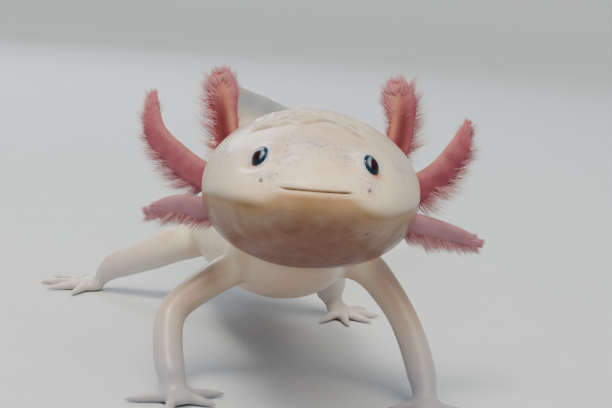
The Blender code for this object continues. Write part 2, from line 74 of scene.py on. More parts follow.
# The body along its middle line, from the snout to the tip of the tail:
# name, place of the middle line, half width, height above the line, depth below it, and how far the
# thin fins stand out above and below the flesh.
BODY = (
    ("snout tip", (0.3, 0.0, 37.9), 2.6, 1.1, 1.3, 0.0, 0.0),
    ("lips", (0.3, 1.0, 37.6), 7.3, 2.9, 3.6, 0.0, 0.0),
    ("nostrils", (0.3, 3.6, 37.2), 10.5, 4.9, 6.2, 0.0, 0.0),
    ("eyes", (0.2, 8.0, 36.8), 13.1, 7.2, 8.8, 0.0, 0.0),
    ("cheeks", (0.1, 14.0, 36.5), 15.9, 10.0, 11.2, 0.0, 0.0),
    ("jaw corners", (0.0, 20.0, 36.0), 17.0, 12.2, 12.2, 0.0, 0.0),
    ("crown", (-0.3, 25.0, 34.6), 16.3, 13.7, 12.0, 0.0, 0.0),
    ("nape", (-0.9, 29.5, 32.0), 13.8, 14.2, 11.0, 0.0, 0.0),
    ("neck", (-1.6, 33.5, 29.0), 11.6, 13.4, 10.6, 0.0, 0.0),
    ("shoulders", (-2.6, 39.0, 25.6), 11.4, 12.2, 11.2, 0.0, 0.0),
    ("chest", (-4.2, 47.0, 22.8), 12.0, 11.5, 11.2, 0.6, 0.0),
    ("belly", (-7.0, 59.0, 20.6), 12.8, 10.9, 11.0, 1.4, 0.0),
    ("loin", (-11.0, 73.0, 18.4), 11.8, 9.8, 9.2, 2.4, 0.0),
    ("hips", (-14.4, 84.0, 17.2), 9.8, 8.8, 7.8, 3.8, 0.0),
    ("tail root", (-17.2, 95.0, 19.0), 6.6, 8.0, 6.6, 5.4, 2.6),
    ("tail rise", (-19.2, 106.0, 24.0), 5.2, 7.6, 6.0, 7.2, 4.8),
    ("tail arch", (-19.6, 118.0, 27.6), 4.4, 7.2, 5.6, 8.4, 6.0),
    ("tail bend", (-16.0, 130.0, 26.8), 3.7, 6.4, 5.0, 8.2, 6.4),
    ("tail turn", (-7.5, 141.0, 24.0), 3.0, 5.2, 4.2, 7.6, 6.0),
    ("tail fall", (4.5, 151.0, 20.8), 2.2, 3.9, 3.2, 6.2, 5.0),
    ("tail end", (16.5, 160.0, 17.2), 1.3, 2.4, 2.0, 4.2, 3.4),
    ("tail tip", (27.0, 168.0, 14.4), 0.5, 0.7, 0.7, 1.0, 0.8),
)
FIN_EDGE_THICKNESS = 0.85
FIN_FOOT_THICKNESS = 1.9
FIN_FILLET = 2.2
# How square a section is: 2 is an ellipse.
HEAD_TOP_SQUARENESS = 1.95
HEAD_JAW_SQUARENESS = 2.25
TRUNK_SQUARENESS = 2.1
# How far the round ends of snout and tail stand out, over what length the tail's tip narrows, and
# the part of its size that it ends with.
NOSE_CAP = 0.45
TAIL_CAP = 0.3
TAIL_ROUNDING = 3.0
TAIL_END_PART = 0.15
# Degrees of the rings on the body's round ends and on a limb's, and the steps between rings from
# head to tail tip.
END_TURNS = (80, 65, 50, 35, 18)
CAP_TURNS = (25, 45, 65, 82)
RING_STEPS = (0.3, 0.6, 0.7, 0.25)

EYE_RADIUS = 1.95
EYE_OPENING = 1.58
# How far the skin stands up round an eye, how far out that reaches, and how deep the socket is.
LID_RISE = 0.12
LID_REACH = 3.4
SOCKET_DEPTH = 1.3
EYES = {
    "eye_right": ((-7.84, 7.96, 42.2), (-0.66, -0.52, 0.54)),
    "eye_left": ((8.44, 7.96, 42.2), (0.66, -0.52, 0.54)),
}
# Nostrils, seen from the front: across and up.
NOSTRILS = ((-7.3, 39.5), (8.35, 39.25))
NOSTRIL_DEPTH = 0.35
NOSTRIL_REACH = 0.26
NOSTRIL_TINT_REACH = 0.32
# A small dark spot under the left side of the jaw.
THROAT_SPOT = (8.42, 3.21, 32.96)

# The parted middle of the mouth: its middle, half width and height. Angles round the snout are
# measured about a point inside the head.
MOUTH_MIDDLE = 0.75
MOUTH_HALF = 5.1
MOUTH_HEIGHT = 39.0
SNOUT_CENTRE = (0.3, 14.0)
SNOUT_TIP = (0.3, -0.4, 38.0)
# The face ends this far back.
FACE_END = 9.0
# The mouth's crease: how deep it is, and half its height. The lips: height over the mouth, how far
# they swell, and half their height.
MOUTH_CREASE = (0.42, 0.13)
LIPS = ((0.7, 0.12, 0.65), (-0.75, 0.2, 0.6))
# Height of the line under the lips where the jaw's painted shade begins, by degrees round the
# snout. The ochre band, with its painted glow, lies along it.
JAW_LINE = (
    *((-98, 35.2), (-68, 36.0), (-31, 36.5), (-16, 38.1), (0, 38.3)),
    *((18, 38.2), (37, 36.0), (61, 35.5), (90, 35.6)),
)
# Folds across the crown: how far each lies behind the first, how deep it is, and half its width.
CROWN_FOLDS = (
    *((0.0, 0.7, 0.3), (1.2, 0.4, 0.24), (2.3, 0.5, 0.3)),
    *((3.4, 0.3, 0.25), (4.6, 0.35, 0.3), (6.0, 0.25, 0.3)),
)
# The throat's fold and the swelling before it: place from the nape, how far out, and half width.
THROAT_FOLDS = ((1.4, -0.7, 1.0), (-1.2, 0.35, 1.6))

# Clusters of freckles: middle and reach.
FRECKLES = (
    ((-3.3, 6.9, 43.0), (2.6, 3.2, 2.0)),
    ((4.1, 7.5, 43.1), (2.0, 2.8, 2.0)),
    ((-6.7, 3.0, 40.3), (2.4, 2.2, 1.3)),
    ((8.6, 3.4, 40.0), (2.1, 2.4, 1.3)),
    ((-12.9, 12.5, 41.2), (1.6, 3.0, 1.4)),
    ((13.1, 13.0, 41.0), (1.6, 3.4, 1.6)),
    ((0.3, 9.5, 44.3), (5.4, 2.8, 1.3)),
)

# Legs: the places of the limb from inside the body to the wrist, and the tips of the toes.
LEGS = {
    "front_right": (
        (
            *((-5.0, 37.5, 21.5), (-11.0, 36.0, 19.4), (-16.8, 33.0, 16.0)),
            *((-21.4, 30.0, 11.8), (-21.3, 25.0, 7.2), (-19.8, 20.2, 3.4)),
        ),
        ((-26.6, 17.4), (-19.6, 12.6), (-12.6, 17.8), (-11.8, 23.6)),
    ),
    "front_left": (
        (
            *((5.0, 37.5, 22.5), (10.6, 37.2, 20.4), (14.2, 36.0, 17.0)),
            *((17.4, 33.8, 12.8), (19.7, 30.0, 8.2), (21.2, 25.6, 3.7)),
        ),
        ((15.4, 22.6), (18.8, 16.6), (24.8, 16.2), (29.6, 22.4)),
    ),
    "hind_right": (
        (
            *((-16.0, 80.5, 15.4), (-22.0, 81.0, 14.0), (-26.8, 81.6, 12.2)),
            *((-31.4, 82.4, 9.8), (-35.9, 83.6, 7.7), (-40.2, 85.0, 5.6)),
        ),
        ((-47.6, 79.0), (-53.2, 82.4), (-55.6, 87.4), (-53.6, 92.6), (-48.0, 95.0)),
    ),
    "hind_left": (
        (
            *((-10.0, 82.0, 15.0), (-4.0, 80.8, 14.4), (0.6, 78.6, 15.0)),
            *((4.6, 77.2, 12.8), (5.8, 78.4, 8.4), (5.6, 80.6, 4.2)),
        ),
        ((4.2, 72.6), (9.8, 71.8), (14.6, 75.4), (16.0, 80.6), (13.6, 86.0)),
    ),
}
# For each pair of legs: the solids that the skin replaces, and the limb's half widths.
LEG_NODES = {
    "front": (("upper_arm", "forearm", "hand"), (3.6, 3.1, 2.7, 2.5, 2.5, 2.4)),
    "hind": (("thigh", "shin", "foot"), (4.6, 4.1, 3.7, 3.4, 3.1, 2.8)),
}
# A palm: the part of the way to the toes' tips where its middle lies, its half length, width and
# height, how deep its sole is sunk, how far the wrist runs into it and how much smaller that ends.
PALM_PART = 0.42
PALM_HALVES = (3.2, 2.9, 1.5)
SOLE_SINK = 0.2
WRIST_INTO_PALM = 0.6
WRIST_END_PART = 0.75
# A toe's half widths at its root, knuckle, bend and tip, and where those lie along it.
TOE_HALVES = (1.1, 1.0, 0.9, 0.52)
TOE_ROOT_PART = 0.12
KNUCKLE_PART = 0.55
KNUCKLE_RISE = 0.12
TOE_BEND_PART = 0.6

# Gills: the stalk's middle line, and for each row of filaments the way it leaves the stalk
# and its length near the root, half way and at the tip.
GILLS = {
    "gill_upper_right": (
        ((-10.0, 27.5, 37.0), (-13.4, 27.8, 40.2), (-15.0, 30.5, 45.9), (-16.2, 34.5, 51.4)),
        (
            ((-1.0, 0.5, 0.0), (2.3, 3.0, 1.6)),
            ((1.0, 0.8, 0.0), (0.8, 1.1, 1.4)),
            ((0.2, 1.0, 0.2), (1.4, 1.8, 1.5)),
        ),
    ),
    "gill_middle_right": (
        (
            *((-13.0, 27.0, 34.0), (-16.8, 27.6, 35.2), (-21.8, 30.2, 37.6)),
            *((-26.4, 33.4, 41.6), (-27.5, 37.0, 47.2)),
        ),
        (((-0.8, 0.1, -1.0), (3.2, 2.2, 1.2)), ((-0.5, 1.0, -0.2), (2.6, 2.2, 1.4))),
    ),
    "gill_lower_right": (
        ((-12.5, 26.5, 30.6), (-16.4, 27.0, 30.2), (-21.4, 27.8, 30.2), (-26.4, 29.0, 28.9)),
        (((0.0, 0.0, -1.0), (1.9, 1.7, 1.1)), ((0.0, 1.0, -0.3), (2.4, 2.0, 1.2))),
    ),
    "gill_upper_left": (
        ((9.6, 27.5, 38.0), (12.9, 27.8, 41.6), (13.8, 30.5, 46.8), (12.8, 34.5, 52.0)),
        (
            ((-1.0, 0.7, 0.0), (1.2, 1.5, 1.5)),
            ((1.0, 0.5, 0.0), (2.1, 2.7, 1.7)),
            ((-0.2, 1.0, 0.2), (1.4, 1.8, 1.5)),
        ),
    ),
    "gill_middle_left": (
        (
            *((12.6, 27.0, 34.6), (16.4, 27.6, 35.8), (20.9, 30.2, 38.6)),
            *((23.8, 33.4, 42.6), (25.3, 37.0, 46.4)),
        ),
        (((0.8, 0.1, -1.0), (4.1, 2.5, 1.2)), ((0.5, 1.0, -0.2), (3.0, 2.4, 1.4))),
    ),
    "gill_lower_left": (
        ((12.5, 26.5, 31.0), (16.5, 27.0, 30.4), (22.4, 29.2, 28.8), (28.6, 32.0, 27.2)),
        (((0.0, 0.0, -1.0), (2.1, 1.7, 0.9)), ((0.0, 1.0, -0.3), (2.6, 2.0, 1.2))),
    ),
}
# Half width and half depth of a stalk from its root to its tip, and how deep its front is grooved.
STALK_HALVES = {
    "upper": ((2.1, 1.3), (2.1, 1.3), (2.0, 1.1), (2.1, 1.0), (2.6, 1.1), (1.9, 0.9)),
    "middle": ((2.2, 1.4), (2.4, 1.3), (2.3, 1.1), (1.8, 0.9), (0.65, 0.45)),
    "lower": ((1.9, 1.3), (2.2, 1.2), (2.2, 1.0), (1.8, 0.85), (0.75, 0.5)),
}
STALK_GROOVES = {"upper": 0.35, "middle": 0.15, "lower": 0.1}
STALK_LIE = (0.0, 1.0, 0.2)
# The skin's collar round a stalk's root: the part of the stalk it covers, and its half widths.
COLLAR_PART = 0.2
COLLAR_HALVES = ((2.4, 1.8), (2.4, 1.7), (2.2, 1.4), (1.7, 1.0), (1.1, 0.6))
# Filaments: how far apart in a strand, strands side by side, the degrees they fan out over, the
# part of the stalk they start from, half their thickness, and how they lean, droop and wave.
FILAMENT_SPACING = 0.24
FILAMENT_STRANDS = 12
FILAMENT_FAN = 75.0
FILAMENTS_FROM = 0.18
FILAMENT_HALF = 0.06
FILAMENT_LEAN = 0.9
FILAMENT_DROOP = 0.12
FILAMENT_WAVE = 0.16
# The least and the most of its row's length that a filament has.
FILAMENT_LENGTHS = (0.7, 1.1)
# Neighbouring filaments hold together in locks about this long.
LOCK_LENGTH = 0.9
# The end of each gill is tufted all round: from which part on, how many filaments and how long.
TUFTS = {"upper": (0.62, 1880, 1.35), "middle": (0.82, 250, 0.9), "lower": (0.84, 210, 0.8)}
TUFT_TOP = 0.93
FILAMENT_SEED = 7
# The size of each filament's patch of the map it bakes in.
OWN_PATCH = 0.003

# Creases between the ribs, blocks of muscle along the tail, and the wave of its fins.
RIB_SPACING = 3.5
RIB_DEPTH = 0.24
MUSCLE_SPACING = 4.0
MUSCLE_DEPTH = 0.07
FIN_RIPPLE = 0.3

# Tints of the skin over its cream: attribute, colour and strength. Several of them are painted
# shade, wholly or in part, as noted below.
SKIN_TINTS = (
    # belly: partly the underside's pinkish colour, partly painted shade on skin that faces down
    ("belly", "#b08a78", 0.6),
    # chin: partly the lower jaw's brown, partly painted shade under the line where light leaves the
    # jaw; jowl: painted shade under the jaw
    ("chin", "#643108", 0.93),
    ("jowl", "#653a33", 0.6),
    # the ochre band: partly the jaw's yellowish colour, partly a painted warm glow along the edge
    # of the painted shade
    ("ochre_and_glow", "#815304", 0.96),
    ("lips", "#c18341", 0.45),
    # The leg tints are partly the legs' pink and grey-white and partly painted shade, deepest on
    # the front legs under the head.
    ("blush_and_shade", "#a27d71", 0.62),
    ("shoulder", "#9c6b57", 0.62),
    ("pale", "#989dae", 0.85),
    ("gill root", "#a8575c", 0.9),
    ("thin", "#939fa9", 0.82),
    ("crown", "#c5c6bd", 0.5),
    # cheek: painted bluish-grey shade on the sides of the head
    ("cheek", "#b3a99d", 0.5),
    ("forehead", "#c39c86", 0.5),
    ("rim", "#b3c3d4", 0.9),
    ("amber", "#c0702c", 0.85),
    # the dark line of the mouth: painted shade in the slit between the lips
    ("mouth_slit_shade", "#4a2f0a", 1.0),
    ("nostril", "#43261c", 0.95),
)
STALK_TINTS = (
    ("tip", "#b5626b", 0.7),
    ("ridge", "#b87b62", 0.85),
    # core: partly the blood's deep red, partly painted shade down the stalk's grooved face
    ("core", "#5a0f10", 0.95),
    ("dusty", "#b08a94", 0.6),
)
FILAMENT_TINTS = (("tip", "#dcb0b5", 0.95),)

# The floor is flat this far out, then sweeps up with this radius, in metres.
FLOOR_REACH = 3.0
SWEEP = 4.0
# The sky's colour and strength.
SKY = ("#dbe4ee", 0.44)
# Lights: name, kind, place, target, size or angle, power and colour.
LIGHTS = (
    ("overhead", "SUN", (0.2, -0.5, 1.0), (0.0, 0.0, 0.0), math.radians(50), 2.3, "#fff2e0"),
    ("key", "AREA", (-0.12, -0.20, 0.55), (0.0, -0.05, 0.03), 0.2, 2.4, "#fff3e2"),
    ("back", "AREA", (-0.25, 0.55, 0.45), (0.0, 0.0, 0.03), 0.4, 2.8, "#eef4ff"),
)

# Kinds of node that are used often. RANGE is given a value, what it runs from and to, and what
# those two become.
MIX = "ShaderNodeMix"
MATHS = "ShaderNodeMath"
VECTORS = "ShaderNodeVectorMath"
RANGE = "ShaderNodeMapRange"
NOISE = "ShaderNodeTexNoise"
CELLS = "ShaderNodeTexVoronoi"
NOTE = "ShaderNodeAttribute"
PLACES = "ShaderNodeTexCoord"
BUMP = "ShaderNodeBump"
JOIN = "ShaderNodeCombineXYZ"
STORE = "GeometryNodeStoreNamedAttribute"

# The grid that makes one skin, and the points of a quarter section along its flesh and its fin.
VOXEL = 0.54
FLESH_POINTS = 44
FIN_POINTS = 16
# Sides of each kind of tube, and the steps between its rings.
LIMB_MESH = (28, 0.5)
TOE_MESH = (14, 0.35)
COLLAR_MESH = (24, 0.5)
STALK_MESH = (28, 0.4)
# The skin stays this far over the floor.
FLOOR_GAP = 0.02


def unit(vectors):
    return vectors / np.linalg.norm(vectors, axis=-1, keepdims=True)


def ease(start, end, at):
    """0 up to start and 1 from end on, with a soft run between."""
    t = np.clip((at - start) / (end - start), 0.0, 1.0)
    return t * t * (3 - 2 * t)


def hill(distance, reach):
    return np.exp(-((distance / reach) ** 2))


def around(sides):
    """Angles at even steps round a full turn."""
    return np.arange(sides) * 2 * math.pi / sides


def hermite(knots, values, slopes, at):
    i = np.clip(np.searchsorted(knots, at) - 1, 0, len(knots) - 2)
    step = (knots[i + 1] - knots[i])[:, None]
    t = (at - knots[i])[:, None] / step
    return (
        values[i] * (1 + 2 * t) * (1 - t) ** 2
        + slopes[i] * step * t * (1 - t) ** 2
        + values[i + 1] * t * t * (3 - 2 * t)
        + slopes[i + 1] * step * t * t * (t - 1)
    )


def levels(knots, values, at):
    """Values that change smoothly along a length and never swing past those at its knots."""
    values = np.asarray(values, float).reshape(len(knots), -1)
    rises = np.diff(values, axis=0) / np.diff(knots)[:, None]
    same = rises[:-1] * rises[1:] > 0
    sums = np.where(same, rises[:-1] + rises[1:], 1.0)
    inner = np.where(same, 2 * rises[:-1] * rises[1:] / sums, 0.0)
    slopes = np.vstack((rises[:1], inner, rises[-1:]))
    return hermite(np.asarray(knots, float), values, slopes, np.atleast_1d(at))


class Path:
    """A smooth curve through places, measured along the straight lines between them."""

    def __init__(self, places):
        self.places = np.array(places, float)
        steps = np.linalg.norm(np.diff(self.places, axis=0), axis=1)
        self.knots = np.concatenate(([0.0], np.cumsum(steps)))
        self.length = self.knots[-1]
        numbers = np.arange(len(self.places))
        before, after = np.maximum(numbers - 1, 0), np.minimum(numbers + 1, numbers[-1])
        apart = (self.knots[after] - self.knots[before])[:, None]
        self.slopes = (self.places[after] - self.places[before]) / apart

    def __call__(self, at):
        return hermite(self.knots, self.places, self.slopes, np.atleast_1d(at))

    def heading(self, at, reach=0.2):
        ahead, behind = np.minimum(at + reach, self.length), np.maximum(at - reach, 0.0)
        return unit(self(ahead) - self(behind))


SPINE = Path([row[1] for row in BODY])
STATION = {row[0]: knot for row, knot in zip(BODY, SPINE.knots)}
SECTIONS = [row[2:5] for row in BODY]
FINS = [row[5:] for row in BODY]


def body_frame(at):
    ahead = SPINE.heading(at)
    across = unit(np.cross(ahead, UP))
    return SPINE(at), ahead, across, unit(np.cross(across, ahead))


def fuller(a, b, reach):
    """The larger of two values, with a soft run where they are close."""
    near = np.clip(reach - np.abs(a - b), 0.0, None) / np.maximum(reach, 1e-6)
    return np.maximum(a, b) + near * near * reach / 4


def quarter(wide, flesh, fin, square):
    """A quarter of each section, from the fin's edge to the middle of the flank: (across, up)."""
    angles = (np.arange(FLESH_POINTS) + 0.5) / FLESH_POINTS * math.pi / 2
    flesh_across = wide * np.sin(angles) ** (2 / square)
    flesh_up = flesh * np.cos(angles) ** (2 / square)
    fin_up = flesh + fin * (1 - np.arange(FIN_POINTS) / FIN_POINTS)
    up = np.hstack((fin_up, flesh_up))
    across = np.hstack((np.zeros_like(fin_up), flesh_across))
    depth = flesh + fin - up
    edge = FIN_EDGE_THICKNESS / 2
    part = np.clip(depth / np.maximum(fin, 0.1), 0.0, 1.0)
    blade = edge + (FIN_FOOT_THICKNESS / 2 - edge) * part**1.5
    blade = blade * np.sqrt(1 - (1 - np.clip(depth / edge, 0.0, 1.0)) ** 2)
    blade = np.minimum(blade, wide * 0.8) * ease(0.0, 0.5, fin)
    spread = 0.01 * np.arange(up.shape[1])
    fillet = FIN_FILLET * ease(0.0, 2.0, fin) * ease(0.2, 1.5, depth)
    return fuller(across, np.maximum(blade, np.minimum(spread, 0.1)), fillet), up


def body_rings(at, shift=0.0, scale=1.0):
    at = np.atleast_1d(at)
    left = np.clip((SPINE.length - at[:, None]) / TAIL_ROUNDING, TAIL_END_PART, 1.0)
    scale = scale * np.sqrt(1 - (1 - left) ** 2)
    wide, rise, drop = levels(SPINE.knots, SECTIONS, at).T[:, :, None] * scale
    back, belly = levels(SPINE.knots, FINS, at).T[:, :, None] * scale
    part = np.clip((at - STATION["nape"]) / (STATION["chest"] - STATION["nape"]), 0, 1)[:, None]
    top = HEAD_TOP_SQUARENESS + (TRUNK_SQUARENESS - HEAD_TOP_SQUARENESS) * part
    jaw = HEAD_JAW_SQUARENESS + (TRUNK_SQUARENESS - HEAD_JAW_SQUARENESS) * part
    across_top, up_top = quarter(wide, rise, back, top)
    across_low, up_low = quarter(wide, drop, belly, jaw)
    across = np.hstack((across_top, across_low[:, ::-1]))
    up = np.hstack((up_top, -up_low[:, ::-1]))
    across = np.hstack((across, -across[:, ::-1]))[:, :, None]
    up = np.hstack((up, up[:, ::-1]))[:, :, None]
    middle, ahead, side, above = (part[:, None] for part in body_frame(at))
    return middle + ahead * shift + side * across + above * up


def body_shell():
    """The whole body's surface as rings, with a round snout and tail tip."""
    end = SPINE.length
    marks = (0.0, STATION["neck"], STATION["hips"], end - TAIL_ROUNDING, end)
    spans = [np.arange(*span) for span in zip(marks, marks[1:], RING_STEPS)]
    turns = [math.radians(turn) for turn in END_TURNS]
    front = [body_rings(0.0, -NOSE_CAP * math.sin(turn), math.cos(turn)) for turn in turns]
    back = [body_rings(end, TAIL_CAP * math.sin(turn), math.cos(turn)) for turn in turns[::-1]]
    return np.concatenate(front + [body_rings(np.concatenate(spans + [[end]]))] + back)


def tube(places, halves, sides, step, lie=UP, capped=True, groove=0.0):
    """A limb, toe or stalk as rings along a smooth path, with a round end where it is capped."""
    path = Path(places)
    count = max(4, round(path.length / step))
    at = np.linspace(0.0, path.length, count + 1)
    knots = path.knots if len(halves) == len(places) else np.linspace(0.0, path.length, len(halves))
    sizes = levels(knots, [(half, half) if np.isscalar(half) else half for half in halves], at)
    ahead = path.heading(at)
    across = np.zeros_like(ahead)
    current = unit(np.cross(ahead[-1], np.array(lie, float)))
    for i in range(count, -1, -1):
        current = unit(current - ahead[i] * np.dot(current, ahead[i]))
        across[i] = current
    up = unit(np.cross(across, ahead))
    turn = around(sides)
    wide, high = np.cos(turn), np.sin(turn)
    high = high * (1 - groove * hill(wide, 0.5) * (high < 0))
    middle = path(at)
    rings = (
        middle[:, None]
        + across[:, None] * wide[None, :, None] * sizes[:, :1, None]
        + up[:, None] * high[None, :, None] * sizes[:, 1:, None]
    )
    if not capped:
        return rings
    reach, spokes = sizes[-1].min(), rings[-1] - middle[-1]
    ends = [
        middle[-1] + ahead[-1] * reach * math.sin(slope) + spokes * math.cos(slope)
        for slope in map(math.radians, CAP_TURNS)
    ]
    return np.concatenate((rings, ends))


def ellipsoid(centre, axes, sides=28, bands=18):
    rise = np.radians(np.linspace(-86, 86, bands))[:, None]
    turn = around(sides)[None, :]
    level = np.cos(rise)
    local = (level * np.cos(turn), level * np.sin(turn), np.sin(rise) + 0 * turn)
    return np.array(centre) + np.stack(local, -1) @ np.array(axes)


def shells_mesh(name, shells):
    """One mesh of closed shells, each given as rings of equally many points."""
    points, faces = [], []
    start = 0
    for rings in shells:
        rows, count = rings.shape[:2]
        points.append(rings.reshape(-1, 3))
        i = np.arange(rows - 1)[:, None] * count
        j = np.arange(count)[None, :]
        following = (j + 1) % count
        quads = np.stack((i + j, i + following, i + count + following, i + count + j), -1)
        faces += (quads.reshape(-1, 4) + start).tolist()
        faces.append((np.arange(count)[::-1] + start).tolist())
        faces.append((np.arange(count) + start + (rows - 1) * count).tolist())
        start += rows * count
    mesh = bpy.data.meshes.new(name)
    mesh.from_pydata(np.concatenate(points).tolist(), [], faces)
    work = bmesh.new()
    work.from_mesh(mesh)
    bmesh.ops.recalc_face_normals(work, faces=work.faces)
    work.to_mesh(mesh)
    work.free()
    return mesh


def arrays_of(mesh):
    points = np.empty(len(mesh.vertices) * 3)
    mesh.vertices.foreach_get("co", points)
    edges = np.empty(len(mesh.edges) * 2, dtype=np.int32)
    mesh.edges.foreach_get("vertices", edges)
    return points.reshape(-1, 3), edges.reshape(-1, 2)


def move_to(mesh, points):
    mesh.vertices.foreach_set("co", points.ravel())
    mesh.update()


def linked(name, data):
    """A new object in the scene."""
    made = bpy.data.objects.new(name, data)
    bpy.context.scene.collection.objects.link(made)
    return made


def placed(name, mesh, look):
    """Puts a mesh in millimetres into the scene as a smooth object in metres."""
    mesh.materials.clear()
    mesh.materials.append(look)
    mesh.shade_smooth()
    move_to(mesh, (arrays_of(mesh)[0] - ORIGIN) * MM)
    return linked(name, mesh)


def settled(holder):
    """The plain mesh that a holder's modifiers make. The holder goes."""
    graph = bpy.context.evaluated_depsgraph_get()
    mesh = bpy.data.meshes.new_from_object(holder.evaluated_get(graph))
    bpy.data.objects.remove(holder)
    return mesh


def palm_of(places, toes):
    heel = np.array(places[-1])
    under = heel * (1, 1, 0)
    reach = np.array([(x, y, 0.0) for x, y in toes]).mean(axis=0) - under
    return heel, under + UP * (PALM_HALVES[2] - SOLE_SINK) + reach * PALM_PART, unit(reach)


def limb_shells(places, toes, halves):
    """One leg: its limb, its wrist sunk into a flat palm, and its toes."""
    limb = tube(places, halves, *LIMB_MESH, capped=False)
    heel, palm, ahead = palm_of(places, toes)
    inside = (palm - heel) * WRIST_INTO_PALM
    steps = np.linspace(0.0, 1.0, 8)[:, None, None]
    wrist = heel + (limb[-1] - heel) * (1 - (1 - WRIST_END_PART) * steps) + inside * steps
    side = np.array((-ahead[1], ahead[0], 0.0))
    long, wide, high = PALM_HALVES
    pad = ellipsoid(palm, (ahead * long, side * wide, UP * high))
    shells = [np.concatenate((limb[:-1], wrist)), pad]
    for x, y in toes:
        tip = np.array((x, y, TOE_HALVES[3]))
        root = np.array((palm[0], palm[1], TOE_HALVES[0] - SOLE_SINK / 2))
        root = root + (tip - root) * TOE_ROOT_PART
        bend = palm + (tip - palm) * TOE_BEND_PART
        bend[2] = TOE_HALVES[2]
        knuckle = root + (bend - root) * KNUCKLE_PART + UP * KNUCKLE_RISE
        shells.append(tube((root, knuckle, bend, tip), TOE_HALVES, *TOE_MESH))
    return shells


def relaxed(points, edges, weights, times):
    """Each point drawn towards the middle of its neighbours."""
    a, b = edges.T
    total = len(points)
    count = np.bincount(a, minlength=total) + np.bincount(b, minlength=total)
    for _ in range(times):
        sums = [
            np.bincount(a, points[b, i], total) + np.bincount(b, points[a, i], total)
            for i in range(3)
        ]
        middles = np.stack(sums, axis=1) / count[:, None]
        points = points + weights[:, None] * (middles - points)
    return points


def nearest(tree, points):
    """Each point's nearest place on a surface, and how far away that is."""
    found = [tree.find_nearest(point) for point in points.tolist()]
    return np.array([hit[0] for hit in found]), np.array([hit[3] for hit in found])


def tree_of(shells):
    mesh = shells_mesh("guide", shells)
    points, _ = arrays_of(mesh)
    tree = BVHTree.FromPolygons(points.tolist(), [list(face.vertices) for face in mesh.polygons])
    bpy.data.meshes.remove(mesh)
    return tree


def voxel_union(mesh):
    holder = linked("flesh", mesh)
    step = holder.modifiers.new("one skin", "REMESH")
    step.mode = "VOXEL"
    step.voxel_size = VOXEL
    joined = settled(holder)
    bpy.data.meshes.remove(mesh)
    return joined


def body_places(points):
    """For each point: its place along the body, and its offsets there as parts of the section."""
    at = np.linspace(0.0, SPINE.length, 900)
    line = SPINE(at)
    found = np.empty(len(points), dtype=int)
    for start in range(0, len(points), 4000):
        block = points[start : start + 4000]
        apart = ((block[:, None] - line[None]) ** 2).sum(-1)
        found[start : start + 4000] = apart.argmin(axis=1)
    # The nearest of many places on the line, and from there the rest of the way along it.
    nearby, ahead, _, _ = body_frame(at[found])
    place = np.clip(at[found] + ((points - nearby) * ahead).sum(-1), 0.0, SPINE.length)
    middle, _, side, above = body_frame(place)
    wide, rise, drop = levels(SPINE.knots, SECTIONS, place).T
    offset = points - middle
    across, up = (offset * side).sum(-1), (offset * above).sum(-1)
    return place, across / wide, up / np.where(up > 0, rise, drop), up - rise, -up - drop


def mouth_places(points):
    """Angle round the snout, part of the way to the mouth's end, and height over the mouth."""
    x, y, z = points.T
    turn = np.degrees(np.arctan2(x - SNOUT_CENTRE[0], SNOUT_CENTRE[1] - y))
    return turn, np.abs(x - MOUTH_MIDDLE) / MOUTH_HALF, z - MOUTH_HEIGHT


def finer(mesh, choose, times):
    """Splits the faces near chosen places, each time into four."""
    work = bmesh.new()
    work.from_mesh(mesh)
    for _ in range(times):
        centres = np.array([face.calc_center_median() for face in work.faces])
        chosen = choose(centres)
        edges = {edge for face, near in zip(work.faces, chosen) if near for edge in face.edges}
        bmesh.ops.subdivide_edges(work, edges=list(edges), cuts=1, use_grid_fill=True)
    bmesh.ops.triangulate(work, faces=[face for face in work.faces if len(face.verts) > 4])
    work.to_mesh(mesh)
    work.free()


def face_details(centres):
    x, y, z = centres.T
    _, part, above = mouth_places(centres)
    close = (part < 1.3) & (np.abs(above) < 0.9) & (y < 8)
    close |= (np.abs(x) < 9.5) & (np.abs(y - crown_line(x) - 2.7) < 4.8) & (z > 42)
    for place, _ in EYES.values():
        close |= np.linalg.norm(centres - place, axis=1) < 2.9
    for across, up in NOSTRILS:
        close |= (np.hypot(x - across, z - up) < 0.9) & (y < 8)
    return close


def crown_line(x):
    """How far back the first fold of the crown lies."""
    return 16.2 - 0.027 * (x + 1.2) ** 2


